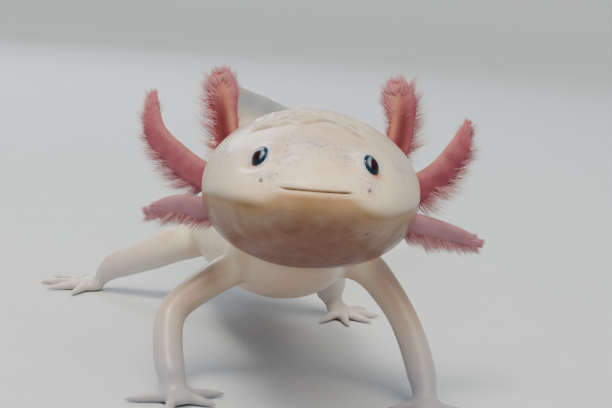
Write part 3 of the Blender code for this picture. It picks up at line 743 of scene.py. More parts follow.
def skin_mesh():
    """One skin over the whole animal, with its folds, lips, nostrils and eye sockets."""
    body = [body_shell()]
    legs = []
    for name, (places, toes) in LEGS.items():
        legs += limb_shells(places, toes, LEG_NODES[name.split("_")[0]][1])
    collars = []
    for places, _ in GILLS.values():
        path = Path(places)
        at = np.linspace(0.0, path.length * COLLAR_PART, 5)
        collars.append(tube(path(at), COLLAR_HALVES, *COLLAR_MESH, STALK_LIE))
    mesh = voxel_union(shells_mesh("flesh", body + legs + collars))
    points, edges = arrays_of(mesh)
    body_tree = tree_of(body)
    on_body, from_body = nearest(body_tree, points)
    on_leg, from_leg = nearest(tree_of(legs), points)
    _, from_collar = nearest(tree_of(collars), points)
    # Soft fillets where pieces meet, and a wrist that runs into the palm.
    join = 1 - ease(0.9, 3.2, np.maximum(from_body, np.minimum(from_leg, from_collar)))
    foot = (1 - ease(3.0, 5.5, points[:, 2])) * (from_body > 1.0)
    wrist = np.zeros(len(points))
    for places, toes in LEGS.values():
        heel, palm, _ = palm_of(places, toes)
        apart = np.linalg.norm(points - (heel + (palm - heel) * 0.3), axis=1)
        wrist = np.maximum(wrist, 1 - ease(2.6, 4.2, apart))
    points = relaxed(points, edges, np.clip(join + 0.12 * foot + wrist, 0, 1) * 0.7, 12)
    points = relaxed(points, edges, np.full(len(points), 0.3), 2)
    # Elsewhere the skin is drawn back onto the shapes that it covers.
    nearer_body = from_body < from_leg
    own = np.where(nearer_body[:, None], on_body, on_leg)
    hold = (1 - np.clip(1.5 * join + 0.15 * foot + wrist, 0, 1)) * (from_collar > 1.5)
    points = points + hold[:, None] * (own - points)
    place, _, _, over_back, under_belly = body_places(points)
    fin = ease(-0.5, 1.0, np.maximum(over_back, under_belly)) * (place > STATION["loin"])
    points = relaxed(points, edges, fin * nearer_body * 0.6, 18)
    points = relaxed(points, edges, np.where(nearer_body, 0.5, 0.3), 4)
    move_to(mesh, points)
    finer(mesh, face_details, 2)
    points, edges = arrays_of(mesh)
    near = face_details(points)
    points[near] = nearest(body_tree, points[near])[0]
    points = relaxed(points, edges, near * 0.5, 6)
    muzzle = 1 - ease(2.5, 6.0, np.linalg.norm(points - SNOUT_TIP, axis=1))
    points = relaxed(points, edges, muzzle * 0.6, 24)
    move_to(mesh, points)
    shape_skin(mesh)
    return mesh


def nostrils_near(points, reach):
    """1 in the middle of each nostril, and 0 away from them."""
    x, y, z = points.T
    apart = [np.hypot(x - across, z - up) for across, up in NOSTRILS]
    return hill(np.minimum(*apart) + 9 * (y > 8), reach)


def folds(points, normals, marks):
    """How far the skin moves out, for lips, nostrils, creases of the crown, ribs and muscle."""
    x, y, _ = points.T
    place, across, up, _, _ = marks["places"]
    head, flesh, tail, trunk, below = marks["areas"]
    turn, part, above = mouth_places(points)
    front = (y < FACE_END) * head
    deep, high = MOUTH_CREASE
    out = -deep * hill(above, high) * front * (1 - ease(0.75, 1.08, part))
    for height, swell, high in LIPS:
        out += swell * hill(above - height, high) * front * (1 - ease(0.7, 1.5, part))
    # At the sides the upper lip hangs over the jaw.
    aside = np.abs(turn)
    side_lip = ease(24, 44, aside) * (1 - ease(75, 96, aside)) * head * (y < 22)
    out += 0.16 * hill(below + 0.7, 0.9) * side_lip
    out -= 0.2 * ease(-0.35, 0.35, below) * (1 - ease(0.6, 4.0, below)) * side_lip
    out -= NOSTRIL_DEPTH * nostrils_near(points, NOSTRIL_REACH)

    wander, break_up = (
        np.array([noise.noise(Vector((px * wide, py * long, layer))) for px, py in zip(x, y)])
        for wide, long, layer in ((0.22, 0.3, 4.0), (0.45, 0.35, 9.0))
    )
    on_top = ease(0.3, 0.7, normals[:, 2]) * head * (1 - ease(6.0, 10.5, np.abs(x + 0.6)))
    for behind, deep, wide in CROWN_FOLDS:
        strength = on_top * np.clip(0.75 + 1.1 * break_up * (-1) ** round(behind), 0.15, 1.4)
        apart = y - crown_line(x) - behind - wander * 2.2
        out -= deep * hill(apart, wide) * strength
        out += deep * 0.7 * hill(apart - 0.6, 0.36) * strength
    # A low swelling down the snout, with a shallow hollow on either side.
    out += 0.35 * hill(x - 0.3, 2.6) * hill(y - 5.5, 4.5) * on_top
    out -= 0.22 * hill(np.abs(x - 0.3) - 5.2, 1.5) * hill(y - 7.0, 3.0) * on_top

    for behind, swell, wide in THROAT_FOLDS:
        out += swell * hill(place - STATION["nape"] - behind, wide) * ease(0.0, -0.35, up) * flesh
    side = ease(0.35, 0.7, np.abs(across)) * flesh
    rib = (place - STATION["shoulders"] - 3.0 + 1.2 * up) / RIB_SPACING
    out -= RIB_DEPTH * hill((rib - np.round(rib)) * RIB_SPACING, 0.7) * side * trunk
    side = ease(0.3, 0.7, np.abs(across)) * flesh
    muscle = (place + 3.2 * np.abs(up + 0.05)) / MUSCLE_SPACING
    out -= MUSCLE_DEPTH * hill((muscle - np.round(muscle)) * MUSCLE_SPACING, 0.9) * side * tail
    return out


def set_eyes(points):
    """The skin drawn up round each eye and sunk behind it, with the tints of its rim and corner."""
    rim = np.zeros(len(points))
    amber = np.zeros(len(points))
    for centre, facing in EYES.values():
        axis = unit(np.array(facing))
        opening = math.sqrt(EYE_RADIUS**2 - EYE_OPENING**2)
        offset = points - (np.array(centre) - axis * opening)
        height = offset @ axis
        spread = np.linalg.norm(offset - height[:, None] * axis, axis=1)
        near = (np.linalg.norm(points - centre, axis=1) < 5) & (height > -2)
        lip = (1 - ease(EYE_OPENING, LID_REACH, spread)) * near
        raised = height + (opening + LID_RISE - height) * lip
        sunk = ease(EYE_OPENING + 0.06, EYE_OPENING - 0.16, spread) * near
        points = points + axis * ((raised - sunk * SOCKET_DEPTH - height) * near)[:, None]
        rim = np.maximum(rim, hill(spread - EYE_OPENING - 0.25, 0.42) * near)
        corner = np.array(centre) + (axis * (1, 1, 0) * 1.1 - UP * 1.5)
        amber = np.maximum(amber, hill(np.linalg.norm(points - corner, axis=1), 1.3))
    return points, rim, amber


def gill_roots(points):
    """Where the skin turns to gill flesh."""
    root = np.zeros(len(points))
    for places, _ in GILLS.values():
        path = Path(places)
        start, end = path(0.0)[0], path(path.length * 0.25)[0]
        run = np.clip((points - start) @ (end - start) / np.dot(end - start, end - start), 0, 1)
        apart = np.linalg.norm(points - (start + run[:, None] * (end - start)), axis=1)
        root = np.maximum(root, (1 - ease(2.2, 3.9, apart)) * ease(0.1, 0.55, run))
    return root


def shape_skin(mesh):
    """Moves the skin in and out for its folds, and notes on it where each tint lies."""
    points, _ = arrays_of(mesh)
    normals = np.empty(len(points) * 3)
    mesh.vertex_normals.foreach_get("vector", normals)
    normals = normals.reshape(-1, 3)
    upward = normals[:, 2]
    place, across, up, over_back, under_belly = places = body_places(points)
    off = np.hypot(across, up)
    flesh = 1 - ease(1.12, 1.35, off)
    tail = ease(STATION["hips"], STATION["tail root"] + 3, place)
    head = (1 - ease(STATION["nape"] - 2, STATION["neck"], place)) * flesh
    trunk = ease(STATION["shoulders"], STATION["chest"], place)
    trunk = trunk * (1 - ease(STATION["hips"] - 3, STATION["hips"] + 6, place))
    turn, part, above = mouth_places(points)
    angles, heights = zip(*JAW_LINE)
    jaw_line = levels(angles, heights, np.clip(turn, angles[0], angles[-1]))[:, 0]
    below = jaw_line - points[:, 2]
    beyond = np.maximum(over_back, np.where(tail > 0, under_belly, 0.0))
    thin = ease(-0.2, 4.2, beyond) * ease(STATION["belly"], STATION["hips"], place)
    thin = thin * (np.abs(across) < 0.95)
    marks = {"places": places, "areas": (head, flesh, tail, trunk, below)}
    points = points + normals * folds(points, normals, marks)[:, None]
    ripple = np.sin(place * 0.5 + 1.5 * np.sin(place * 0.13)) * tail * thin * ease(1.0, 6.0, beyond)
    points = points + body_frame(place)[2] * (FIN_RIPPLE * ripple)[:, None]
    points, rim, amber = set_eyes(points)
    points[:, 2] = np.maximum(points[:, 2], FLOOR_GAP)

    x, y, z = points.T
    freckle = np.zeros(len(points))
    for centre, reach in FRECKLES:
        freckle = np.maximum(freckle, np.exp(-(((points - centre) / reach) ** 2).sum(-1)))
    front = (y < FACE_END) * head
    aside = np.abs(turn)
    sideways = ease(35, 85, aside)
    # The ochre band: partly the jaw's yellowish colour, partly a painted warm glow along the edge
    # of the painted shade.
    ochre_and_glow = hill(below - 0.6, 1.3) * (0.6 + 0.4 * ease(15, 40, aside))
    leg = ease(1.12, 1.5, off) * (place < STATION["tail rise"])
    low = 1 - ease(4.0, 17.0, z)
    # The hind legs take less of the legs' painted shade than the front legs under the head.
    hind = ease(50, 70, y)
    # The chin's tint, partly its brown and partly painted shade, grows stronger further under the
    # line and at the sides.
    chin = (0.88 + 0.12 * ease(2.0, 5.0, below)) * (1 + 0.08 * sideways)
    tints = {
        # belly: partly the underside's pinkish colour, partly painted shade on skin that faces down
        "belly": ease(0.4, -0.6, upward) * (1 - head) * (1 - leg) * (1 - 0.6 * tail),
        # chin: the jaw's brown deepened by painted shade under the line; jowl: painted shade lower
        # under the jaw
        "chin": ease(-0.7, 2.2, below) * chin * head,
        "jowl": ease(3.5, 9.0, below) * head,
        "ochre_and_glow": ochre_and_glow * head * (1 - ease(17.0, 25.0, y)),
        "lips": hill(above + 0.8, 1.5) * front * (1 - ease(0.7, 1.7, part)),
        # shoulder, blush and pale: the legs' own tones, darkened as painted shade
        "shoulder": leg * (1 - ease(11.0, 5.0, np.abs(z - 17.0))) * (1 - low),
        "blush_and_shade": leg * (1 - 0.5 * hind) * (1 - low),
        "pale": leg * low * (1 - 0.3 * hind),
        # cheek: painted bluish-grey shade on the sides of the head
        "cheek": sideways * (1 - ease(-1.0, 0.5, below)) * head,
        "forehead": hill(x - 0.3, 7.5) * hill(y - 11.5, 3.6) * ease(0.2, 0.6, upward) * head,
        "gill root": gill_roots(points),
        "thin": thin,
        "rim": rim,
        "amber": amber,
        # the dark line of the mouth: painted shade in the slit between the lips
        "mouth_slit_shade": hill(above, MOUTH_CREASE[1]) * front * (1 - ease(0.85, 1.15, part)),
        "nostril": nostrils_near(points, NOSTRIL_TINT_REACH),
        "freckle": freckle,
        "crown": ease(0.35, 0.8, upward) * ease(-1.0, 1.5, y - crown_line(x)) * head,
    }
    note_on(mesh, tints)
    move_to(mesh, points)


def note_on(mesh, values):
    """Stores a number, or a place, for every point of a mesh, for its materials to read."""
    for name, numbers in values.items():
        numbers = np.asarray(numbers, dtype=np.float32)
        kind, field = ("FLOAT", "value") if numbers.ndim == 1 else ("FLOAT_VECTOR", "vector")
        mesh.attributes.new(name, kind, "POINT").data.foreach_set(field, numbers.ravel())


def linear(hex_colour):
    """A colour that is written as sRGB hex, for a shader."""
    parts = [int(hex_colour[i : i + 2], 16) / 255 for i in (1, 3, 5)]
    parts = [p / 12.92 if p <= 0.04045 else ((p + 0.055) / 1.055) ** 2.4 for p in parts]
    return (*parts, 1.0)


def add(tree, kind, given=(), out=0, **settings):
    """Adds a node with its settings, fills or links its sockets, and hands back one output.

    What its sockets are given comes by their names or numbers, or in their order.
    """
    node = tree.nodes.new(kind)
    for name, value in settings.items():
        setattr(node, name, value)
    for name, value in (given if isinstance(given, dict) else dict(enumerate(given))).items():
        if isinstance(value, bpy.types.NodeSocket):
            tree.links.new(value, node.inputs[name])
        else:
            node.inputs[name].default_value = value
    return node.outputs[out] if node.outputs else node


def new_look(name, **sockets):
    """A material whose shader has the settings that are the same all over."""
    made = bpy.data.materials.new(name)
    made.use_nodes = True
    shader = made.node_tree.nodes["Principled BSDF"]
    for socket, value in sockets.items():
        shader.inputs[socket.replace("_", " ")].default_value = value
    return made, made.node_tree, shader


def with_tints(tree, colour, tints, patchy):
    """Lays tints over a colour, each as strong as its attribute says, and uneven in patches,
    pigment and painted shade alike.
    """
    for name, tone, strength in tints:
        amount = add(tree, NOTE, out="Fac", attribute_name=name)
        amount = add(tree, MATHS, (amount, strength), operation="MULTIPLY")
        amount = add(tree, MATHS, (amount, patchy), operation="MULTIPLY", use_clamp=True)
        colour = add(tree, MIX, {0: amount, 6: colour, 7: linear(tone)}, 2, data_type="RGBA")
    return colour


def skin_look():
    """Moist amphibian skin: creamy, slightly translucent and wetly glossy, with fine freckles."""
    look, tree, shader = new_look(
        "moist_amphibian_skin",
        IOR=1.4,
        Subsurface_Weight=0.3,
        Subsurface_Scale=0.001,
        Subsurface_Radius=(1.0, 0.45, 0.28),
        Coat_Weight=0.3,
        Coat_Roughness=0.14,
        Coat_IOR=1.34,
    )
    place = add(tree, PLACES, out="Object")
    # Cloudy warmth about 5 mm across, as the blood shows through.
    cloud = add(tree, NOISE, {"Vector": place, "Scale": 210.0, "Detail": 3.0})
    warmth = add(tree, RANGE, (cloud, 0.38, 0.68))
    colour = {0: warmth, 6: linear("#ece0c2"), 7: linear("#edcfae")}
    colour = add(tree, MIX, colour, 2, data_type="RGBA")
    # The tints, pigment and painted shade alike, lie in patches about 2 mm across.
    patches = add(tree, NOISE, {"Vector": place, "Scale": 480.0, "Detail": 4.0})
    patchy = add(tree, RANGE, (patches, 0.3, 0.7, 0.94, 1.05))
    colour = with_tints(tree, colour, SKIN_TINTS, patchy)
    # Freckles: dots of 0.15 to 0.4 mm, one to a cell of about 0.5 mm, fewer away from a cluster.
    cells = add(tree, CELLS, {"Vector": place, "Scale": 1900.0}, "Distance")
    draw = add(tree, "ShaderNodeSeparateColor", {"Color": cells.node.outputs["Color"]}).node.outputs
    crowd = add(tree, NOTE, out="Fac", attribute_name="freckle")
    chosen = add(tree, MATHS, (draw[0], crowd), operation="LESS_THAN")
    size = add(tree, RANGE, (draw[1], 0.0, 1.0, 0.14, 0.36))
    reach = add(tree, MATHS, (cells, size), operation="DIVIDE")
    dot = add(tree, RANGE, (reach, 1.0, 0.55, 0.0, 0.8))
    dotted = add(tree, MATHS, (dot, chosen), operation="MULTIPLY")
    haze = add(tree, NOISE, {"Vector": place, "Scale": 900.0, "Detail": 2.0})
    haze = add(tree, RANGE, (haze, 0.35, 0.65, 0.0, 0.75))
    haze = add(tree, MATHS, (haze, crowd), operation="MULTIPLY")
    centre = tuple((np.array(THROAT_SPOT) - ORIGIN) * MM)
    apart = add(tree, VECTORS, (place, centre), "Value", operation="DISTANCE")
    spot = add(tree, RANGE, (apart, 0.45 * MM, 0.15 * MM, 0.0, 0.9))
    for amount, tone in ((haze, "#9d9aae"), (dotted, "#39324a"), (spot, "#3c1512")):
        colour = add(tree, MIX, {0: amount, 6: colour, 7: linear(tone)}, 2, data_type="RGBA")
    tree.links.new(colour, shader.inputs["Base Color"])
    wet = add(tree, NOISE, {"Vector": place, "Scale": 330.0, "Detail": 4.0})
    rough = add(tree, RANGE, (wet, 0.3, 0.7, 0.28, 0.46))
    # The chin shines less, and the crown more.
    for name, change in (("chin", 0.16), ("crown", -0.16)):
        where = add(tree, NOTE, out="Fac", attribute_name=name)
        rough = add(tree, MATHS, (where, change, rough), operation="MULTIPLY_ADD")
    tree.links.new(rough, shader.inputs["Roughness"])
    # Pores about 0.4 mm apart, over soft creases about 2 mm long.
    pores = add(tree, NOISE, {"Vector": place, "Scale": 2400.0, "Detail": 3.0})
    creases = {"Vector": place, "Scale": 520.0, "Detail": 4.0, "Distortion": 0.6}
    creases = add(tree, NOISE, creases)
    relief = add(tree, MATHS, (pores, 0.4, creases), operation="MULTIPLY_ADD")
    depth = add(tree, RANGE, (where, 0.0, 1.0, 0.25, 0.65))
    bump = add(tree, BUMP, {"Height": relief, "Strength": depth, "Distance": 0.0003})
    tree.links.new(bump, shader.inputs["Normal"])
    return look


def eye_look():
    """A wet eye: blue-black iris with a silver crescent on its inner side, red-brown pupil."""
    look, tree, shader = new_look("wet_eye", IOR=1.34, Roughness=0.16, Specular_IOR_Level=0.35)
    place = add(tree, NOTE, out="Vector", attribute_name="iris")
    spread = add(tree, VECTORS, (place,), "Value", operation="LENGTH")
    inner = add(tree, "ShaderNodeSeparateXYZ", {"Vector": place}, "X")
    ring = add(tree, RANGE, (spread, 0.8, 0.7))
    towards = add(tree, RANGE, (inner, 0.25, 0.5))
    streaks = add(tree, NOISE, {"Vector": place, "Scale": 6.0, "Detail": 3.0})
    silver = add(tree, MATHS, (ring, towards), operation="MULTIPLY")
    silver = add(tree, MATHS, (silver, streaks), operation="MULTIPLY")
    pupil = add(tree, VECTORS, (place, (-0.12, 0.0, 0.0)), "Value", operation="DISTANCE")
    pupil = add(tree, RANGE, (pupil, 0.66, 0.54))
    rim = add(tree, RANGE, (spread, 0.82, 1.0, 0.0, 0.75))
    colour = linear("#0c1c2e")
    for amount, tone in ((silver, "#93adc2"), (pupil, "#260b0a"), (rim, "#1d4468")):
        colour = add(tree, MIX, {0: amount, 6: colour, 7: linear(tone)}, 2, data_type="RGBA")
    tree.links.new(colour, shader.inputs["Base Color"])
    return look


def gill_look(name, dark, light, tints):
    """Moist gill flesh: blood seen through thin skin, unevenly dusty rose."""
    look, tree, shader = new_look(
        name,
        IOR=1.4,
        Subsurface_Weight=0.25,
        Subsurface_Scale=0.0006,
        Subsurface_Radius=(1.0, 0.3, 0.25),
        Specular_IOR_Level=0.2,
    )
    place = add(tree, PLACES, out="Object")
    # Blood vessels about 2 mm apart.
    blood = add(tree, NOISE, {"Vector": place, "Scale": 480.0, "Detail": 4.0})
    mottle = add(tree, RANGE, (blood, 0.35, 0.65))
    colour = add(tree, MIX, {0: mottle, 6: linear(dark), 7: linear(light)}, 2, data_type="RGBA")
    patchy = add(tree, RANGE, (blood, 0.3, 0.7, 0.85, 1.1))
    tree.links.new(with_tints(tree, colour, tints, patchy), shader.inputs["Base Color"])
    rough = add(tree, RANGE, (blood, 0.0, 1.0, 0.45, 0.65))
    tree.links.new(rough, shader.inputs["Roughness"])
    bump = add(tree, BUMP, {"Height": blood, "Strength": 0.25, "Distance": 0.0002})
    tree.links.new(bump, shader.inputs["Normal"])
    return look


def floor_look():
    """Matt painted board: pale, with a faint fine grain."""
    look, tree, shader = new_look("matt_painted_board", Roughness=1.0, Specular_IOR_Level=0.1)
    place = add(tree, PLACES, out="Object")
    grain = add(tree, NOISE, {"Vector": place, "Scale": 60.0, "Detail": 4.0})
    colour = {0: grain, 6: linear("#c2c9d0"), 7: linear("#c9d0d6")}
    colour = add(tree, MIX, colour, 2, data_type="RGBA")
    tree.links.new(colour, shader.inputs["Base Color"])
    return look


def eye(name, centre, facing, look):
    """An eyeball with its pole towards the opening, and each point's place across the iris."""
    axis = unit(np.array(facing))
    inward = np.array((-facing[0], 0.0, 0.0))
    inward = unit(inward - axis * np.dot(inward, axis))
    upward = unit(np.cross(axis, inward))
    ball = np.array(centre) - axis * math.sqrt(EYE_RADIUS**2 - EYE_OPENING**2)
    rings = ellipsoid(ball, np.array((inward, upward, axis)) * EYE_RADIUS, 48, 32)
    mesh = shells_mesh(name, [rings])
    offset = (arrays_of(mesh)[0] - ball) / EYE_OPENING
    note_on(mesh, {"iris": np.stack((offset @ inward, offset @ upward, np.zeros(len(offset))), -1)})
    return placed(name, mesh, look)


def kind_of(gill):
    return gill.split("_")[1]


def stalks(look):
    """The six gill stalks, the upper ones grooved, with their dark cores (partly painted shade in
    the groove), pale edges and tips noted.
    """
    shells, cores, ridges, tips, dusts = [], [], [], [], []
    for name, (places, _) in GILLS.items():
        kind = kind_of(name)
        rings = tube(places, STALK_HALVES[kind], *STALK_MESH, STALK_LIE, groove=STALK_GROOVES[kind])
        rows, sides = rings.shape[:2]
        turn = around(sides)
        along = np.linspace(0.0, 1.0, rows)[:, None]
        wide = np.cos(turn)[None, :]
        inner = wide if name.endswith("left") else -wide
        fade = 1 - ease(0.55, 0.95, along)
        # The dark core is partly the blood's red and partly painted shade in the groove of the
        # face.
        if kind == "upper":
            core = hill(inner + 0.2, 0.6) * (np.sin(turn) < 0.2) * (1 - ease(0.5, 0.9, along))
            ridge = hill(inner - 0.8 + 0.6 * ease(0.15, 0.85, along), 0.32)
            ridge = ridge * (1 - ease(0.8, 1.0, along))
            ridge = np.maximum(ridge, 0.5 * hill(inner + 0.95, 0.25) * (1 - ease(0.3, 0.7, along)))
        else:
            core = 0.45 * hill(inner + 0.3, 0.5) * fade
            ridge = 0.55 * hill(inner - 0.95, 0.35) * fade
        cores.append(core.ravel())
        ridges.append(ridge.ravel())
        tips.append((ease(0.55, 1.0, along) + 0 * wide).ravel())
        dusts.append(np.full(rows * sides, float(kind == "lower")))
        shells.append(rings)
    mesh = shells_mesh("gill_stalks", shells)
    notes = {"core": cores, "ridge": ridges, "tip": tips, "dusty": dusts}
    note_on(mesh, {note: np.concatenate(values) for note, values in notes.items()})
    return placed("gill_stalks", mesh, look)


def stalk_edge(path, at, halves, out):
    """How far a stalk reaches from its middle line in each given direction."""
    ahead = path.heading(at)
    across = unit(np.cross(ahead, STALK_LIE))
    wide, deep = levels(np.linspace(0, 1, len(halves)), halves, at / path.length).T
    along_width = (out * across).sum(-1) / wide
    along_depth = (out * np.cross(across, ahead)).sum(-1) / deep
    return 1 / np.hypot(along_width, along_depth)


def strand_filaments(draw, path, halves, way, sizes, lock, strand):
    """One strand of filaments: their roots, ways out, leans, lengths and parts of the way along."""
    at = np.arange(path.length * FILAMENTS_FROM, path.length * 0.985, FILAMENT_SPACING)
    at = at + draw.uniform(-0.12, 0.12, len(at)) + strand * FILAMENT_SPACING / FILAMENT_STRANDS
    at = at[at < path.length * 0.99]
    part = at / path.length
    sway, reach, spread = (np.interp(at / LOCK_LENGTH, np.arange(len(row)), row) for row in lock)
    ahead = path.heading(at)
    out = unit(np.array(way) - ahead * (ahead @ np.array(way))[:, None])
    fan = (strand / (FILAMENT_STRANDS - 1) - 0.5) * FILAMENT_FAN
    swing = np.radians(draw.uniform(-9, 9, len(at)) + fan * (0.9 + 0.3 * spread))[:, None]
    out = unit(out * np.cos(swing) + np.cross(ahead, out) * np.sin(swing))
    root = path(at) + out * (0.85 * stalk_edge(path, at, halves, out))[:, None]
    forward = (0.6 * ease(0.82, 1.0, part) + 0.2 * sway)[:, None]
    length = levels((0.0, 0.5, 1.0), sizes, part)[:, 0] * (1 + 0.25 * reach)
    length = length * draw.uniform(*FILAMENT_LENGTHS, len(at))
    return root, unit(out + ahead * forward), ahead * (1 + 0.4 * sway[:, None]), length, part


def tuft_filaments(draw, path, halves, start, count, length):
    """The filaments round the end of a gill, with the same values for each."""
    part = draw.uniform(start, 1.0, count)
    at = part * path.length
    ahead = path.heading(at)
    across = unit(np.cross(ahead, STALK_LIE))
    # Low down the tuft grows behind the stalk, and at its end all round it.
    turn = draw.normal(0.0, 1.0, count) * (0.8 + 1.4 * ease(0.8, 0.95, part))
    turn = math.pi / 2 + turn[:, None]
    out = unit(across * np.cos(turn) + np.cross(across, ahead) * np.sin(turn))
    # The last of them grow over the round end, each some way from its middle.
    far = np.where(part > TUFT_TOP, np.sqrt(draw.uniform(0.0, 1.0, count)), 1.0)
    part = np.where(part > TUFT_TOP, 1.0, part)
    edge = 0.8 * far * stalk_edge(path, at, halves, out)
    dome = 0.5 * halves[-1][1] * np.sqrt(1 - far**2)
    root = path(part * path.length) + out * edge[:, None] + ahead * dome[:, None]
    forward = 0.2 + 0.5 * ease(start, 1.0, part) ** 2 + 1.6 * ease(0.9, 1.0, part)
    way = unit(out * far[:, None] + ahead * forward[:, None])
    sideways = 0.5 + 0.5 * np.abs(np.cos(turn[:, 0]))
    grown = (0.6 + 0.4 * ease(start, 0.85, part)) * (1 - 0.3 * ease(0.9, 1.0, part))
    length = length * sideways * grown * draw.uniform(*FILAMENT_LENGTHS, count)
    return root, way, ahead, length, part


def filament_roots(gills, seed):
    """A mesh of loose points where filaments leave the stalks, with ways and lengths noted."""
    draw = np.random.default_rng(seed)
    found = []
    for name in gills:
        places, rows = GILLS[name]
        path, halves = Path(places), STALK_HALVES[kind_of(name)]
        for way, sizes in rows:
            lock = draw.uniform(-1, 1, (3, int(path.length / LOCK_LENGTH) + 3))
            for strand in range(FILAMENT_STRANDS):
                found.append(strand_filaments(draw, path, halves, way, sizes, lock, strand))
        found.append(tuft_filaments(draw, path, halves, *TUFTS[kind_of(name)]))
    roots, ways, leans, lengths, parts = zip(*found)
    # Each filament bakes in a patch of its own: one row of the map for each of these lists.
    spots = []
    for row, part in enumerate(parts):
        order = (np.argsort(np.argsort(part)) + 0.5) / (len(part) + 1)
        high = np.full(len(part), (row + 0.5) / len(parts))
        spots.append(np.stack((order, high, 0 * part), -1))
    mesh = bpy.data.meshes.new("roots")
    mesh.from_pydata(np.concatenate(roots).tolist(), [], [])
    notes = {"out": ways, "lean": leans, "length": lengths, "spot": spots}
    note_on(mesh, {note: np.concatenate(values) for note, values in notes.items()})
    return mesh


def filament_tree():
    """Grows a thin filament on each root, lets it lean and droop, and gives it its own patch."""
    tree = bpy.data.node_groups.new("gill filaments", "GeometryNodeTree")
    sockets = {"Roots": "Geometry", "Seed": "Int", "Finish": "Material"}
    sockets |= dict.fromkeys(("Half Thickness", "Lean", "Droop", "Wave"), "Float")
    for name, kind in sockets.items():
        tree.interface.new_socket(name, in_out="INPUT", socket_type="NodeSocket" + kind)
    tree.interface.new_socket("Filaments", in_out="OUTPUT", socket_type="NodeSocketGeometry")
    given = add(tree, "NodeGroupInput").node.outputs
    chance = {0: (-1.0, -1.0, -1.0), 1: (1.0, 1.0, 1.0), "Seed": given["Seed"]}
    stray = add(tree, "FunctionNodeRandomValue", chance, data_type="FLOAT_VECTOR")
    stray = {"Geometry": given["Roots"], "Name": "stray", "Value": stray}
    roots = add(tree, STORE, stray, data_type="FLOAT_VECTOR", domain="POINT")
    line = add(tree, "GeometryNodeCurvePrimitiveLine", {"End": (0.0, 0.0, 1.0)})
    line = add(tree, "GeometryNodeResampleCurve", {"Curve": line, "Count": 5})
    along = add(tree, "GeometryNodeSplineParameter", out="Factor")
    line = {"Geometry": line, "Name": "tip", "Value": along}
    line = add(tree, STORE, line, data_type="FLOAT", domain="POINT")
    taper = add(tree, MATHS, (along, 1.4), operation="POWER")
    taper = add(tree, MATHS, (taper, -0.85, 1.0), operation="MULTIPLY_ADD")
    taper = add(tree, MATHS, (taper, given["Half Thickness"]), operation="MULTIPLY")
    circle = add(tree, "GeometryNodeCurvePrimitiveCircle", {"Resolution": 3, "Radius": 1.0})
    strand = {"Curve": line, "Profile Curve": circle, "Scale": taper, "Fill Caps": True}
    strand = add(tree, "GeometryNodeCurveToMesh", strand)
    kinds = {"out": "FLOAT_VECTOR", "lean": "FLOAT_VECTOR", "length": "FLOAT"}
    kinds |= {"spot": "FLOAT_VECTOR", "stray": "FLOAT_VECTOR", "tip": "FLOAT"}
    reads = {
        name: add(tree, "GeometryNodeInputNamedAttribute", {"Name": name}, data_type=kind)
        for name, kind in kinds.items()
    }
    turned = add(tree, "FunctionNodeAlignRotationToVector", {"Vector": reads["out"]}, axis="Z")
    size = add(tree, JOIN, {"X": 1.0, "Y": 1.0, "Z": reads["length"]})
    grown = {"Points": roots, "Instance": strand, "Rotation": turned, "Scale": size}
    grown = add(tree, "GeometryNodeInstanceOnPoints", grown)
    grown = add(tree, "GeometryNodeRealizeInstances", {"Geometry": grown})
    bend = add(tree, MATHS, (reads["tip"], 1.7), operation="POWER")
    bend = add(tree, MATHS, (bend, reads["length"]), operation="MULTIPLY")
    shift = (0.0, 0.0, 0.0)
    ways = {"Lean": reads["lean"], "Wave": reads["stray"], "Droop": (0.0, 0.0, -1.0)}
    for size, way in ways.items():
        far = add(tree, MATHS, (bend, given[size]), operation="MULTIPLY")
        way = add(tree, VECTORS, {0: way, "Scale": far}, operation="SCALE")
        shift = add(tree, VECTORS, (shift, way), operation="ADD")
    grown = add(tree, "GeometryNodeSetPosition", {"Geometry": grown, "Offset": shift})
    patch = add(tree, MATHS, (reads["tip"], OWN_PATCH), operation="MULTIPLY")
    patch = add(tree, JOIN, {"X": patch})
    patch = add(tree, VECTORS, (reads["spot"], patch), operation="ADD")
    patch = {"Geometry": grown, "Name": "OFBake", "Value": patch}
    grown = add(tree, STORE, patch, data_type="FLOAT2", domain="CORNER")
    grown = add(tree, "GeometryNodeSetMaterial", {"Geometry": grown, "Material": given["Finish"]})
    add(tree, "NodeGroupOutput", {"Filaments": grown})
    return tree


def filaments(name, gills, tree, look, seed):
    holder = linked(name, filament_roots(gills, seed))
    grow = holder.modifiers.new("grow", "NODES")
    grow.node_group = tree
    values = {
        "Half Thickness": FILAMENT_HALF,
        "Lean": FILAMENT_LEAN,
        "Droop": FILAMENT_DROOP,
        "Wave": FILAMENT_WAVE,
        "Seed": seed,
        "Finish": look,
    }
    for item in tree.interface.items_tree:
        if item.name in values:
            grow[item.identifier] = values[item.name]
    mesh = settled(holder)
    mesh.name = name
    return placed(name, mesh, look)


def finish_piece(piece, nodes):
    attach(piece, "root")
    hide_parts(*nodes)


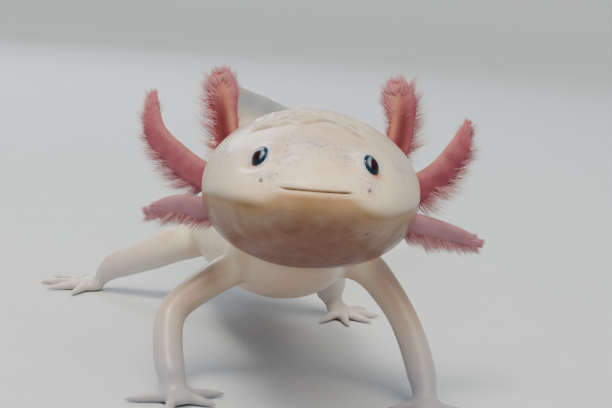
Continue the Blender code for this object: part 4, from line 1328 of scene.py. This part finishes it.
def studio_floor():
    """A wide flat floor whose far edges sweep up all round, so that no horizon shows."""
    profile = [(0.2, 0.0), (1.0, 0.0), (FLOOR_REACH, 0.0)]
    for degrees in range(10, 100, 10):
        turn = math.radians(degrees)
        profile.append((FLOOR_REACH + SWEEP * math.sin(turn), SWEEP * (1 - math.cos(turn))))
    sides = 72
    turns = around(sides)
    points = [
        (far * math.cos(turn), far * math.sin(turn), high)
        for far, high in profile
        for turn in turns
    ]
    faces = [tuple(range(sides))]
    for row in range(len(profile) - 1):
        for i in range(sides):
            j = (i + 1) % sides
            low, high = row * sides, (row + 1) * sides
            faces.append((low + i, high + i, high + j, low + j))
    mesh = bpy.data.meshes.new("floor")
    mesh.from_pydata(points, [], faces)
    mesh.shade_smooth()
    mesh.materials.append(floor_look())
    linked("floor", mesh)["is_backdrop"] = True


def lights():
    world = bpy.data.worlds.new("pale studio")
    bpy.context.scene.world = world
    world.use_nodes = True
    sky = world.node_tree.nodes["Background"]
    sky.inputs["Color"].default_value = linear(SKY[0])
    sky.inputs["Strength"].default_value = SKY[1]
    for name, kind, place, target, size, power, colour in LIGHTS:
        light = bpy.data.lights.new(name, kind)
        light.energy = power
        light.color = linear(colour)[:3]
        if kind == "SUN":
            light.angle = size
        else:
            light.shape = "DISK"
            light.size = size
        lamp = linked(name, light)
        lamp.location = place
        way = Vector(target) - Vector(place)
        lamp.rotation_euler = way.to_track_quat("-Z", "Y").to_euler()


def camera():
    lens = bpy.data.cameras.new("camera")
    lens.sensor_width = SENSOR_WIDTH
    lens.lens = CAMERA_FOCUS_PIXELS * SENSOR_WIDTH / PICTURE_WIDTH
    lens.clip_start = 0.001
    made = linked("camera", lens)
    tilt = Matrix.Rotation(math.radians(90 - CAMERA_DIP), 4, "X")
    place = Vector((np.array(CAMERA_PLACE) - ORIGIN) * MM)
    lean = Matrix.Rotation(math.radians(CAMERA_LEAN), 4, "Z")
    made.matrix_world = Matrix.Translation(place) @ tilt @ lean
    bpy.context.scene.camera = made


camera()
studio_floor()
lights()

flesh_nodes = ["head", "neck", "torso_front", "torso_middle", "torso_rear"]
flesh_nodes += ["tail_root", "tail_middle", "tail_end"]
for leg_name in LEGS:
    leg_parts, _ = LEG_NODES[leg_name.split("_")[0]]
    flesh_nodes += [f"{part_name}_{leg_name}" for part_name in leg_parts]
finish_piece(placed("skin", skin_mesh(), skin_look()), flesh_nodes)

wet_eye = eye_look()
for eye_name, (eye_centre, eye_facing) in EYES.items():
    finish_piece(eye(eye_name + "_ball", eye_centre, eye_facing, wet_eye), [eye_name])

stalk_flesh = gill_look("gill_stalk_flesh", "#7f4051", "#965765", STALK_TINTS)
finish_piece(stalks(stalk_flesh), list(GILLS))
grower = filament_tree()
filament_flesh = gill_look("gill_filament_flesh", "#b0606a", "#c27a82", FILAMENT_TINTS)
for side_name in ("right", "left"):
    side_gills = [gill_name for gill_name in GILLS if gill_name.endswith(side_name)]
    seed = FILAMENT_SEED + len(side_name)
    fringe = filaments("gill_filaments_" + side_name, side_gills, grower, filament_flesh, seed)
    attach(fringe, "root")

boxes = {"cad": solids_box, "visual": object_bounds()}
for box_name, box in boxes.items():
    boxes[box_name] = [[float(value) for value in corner] for corner in box]
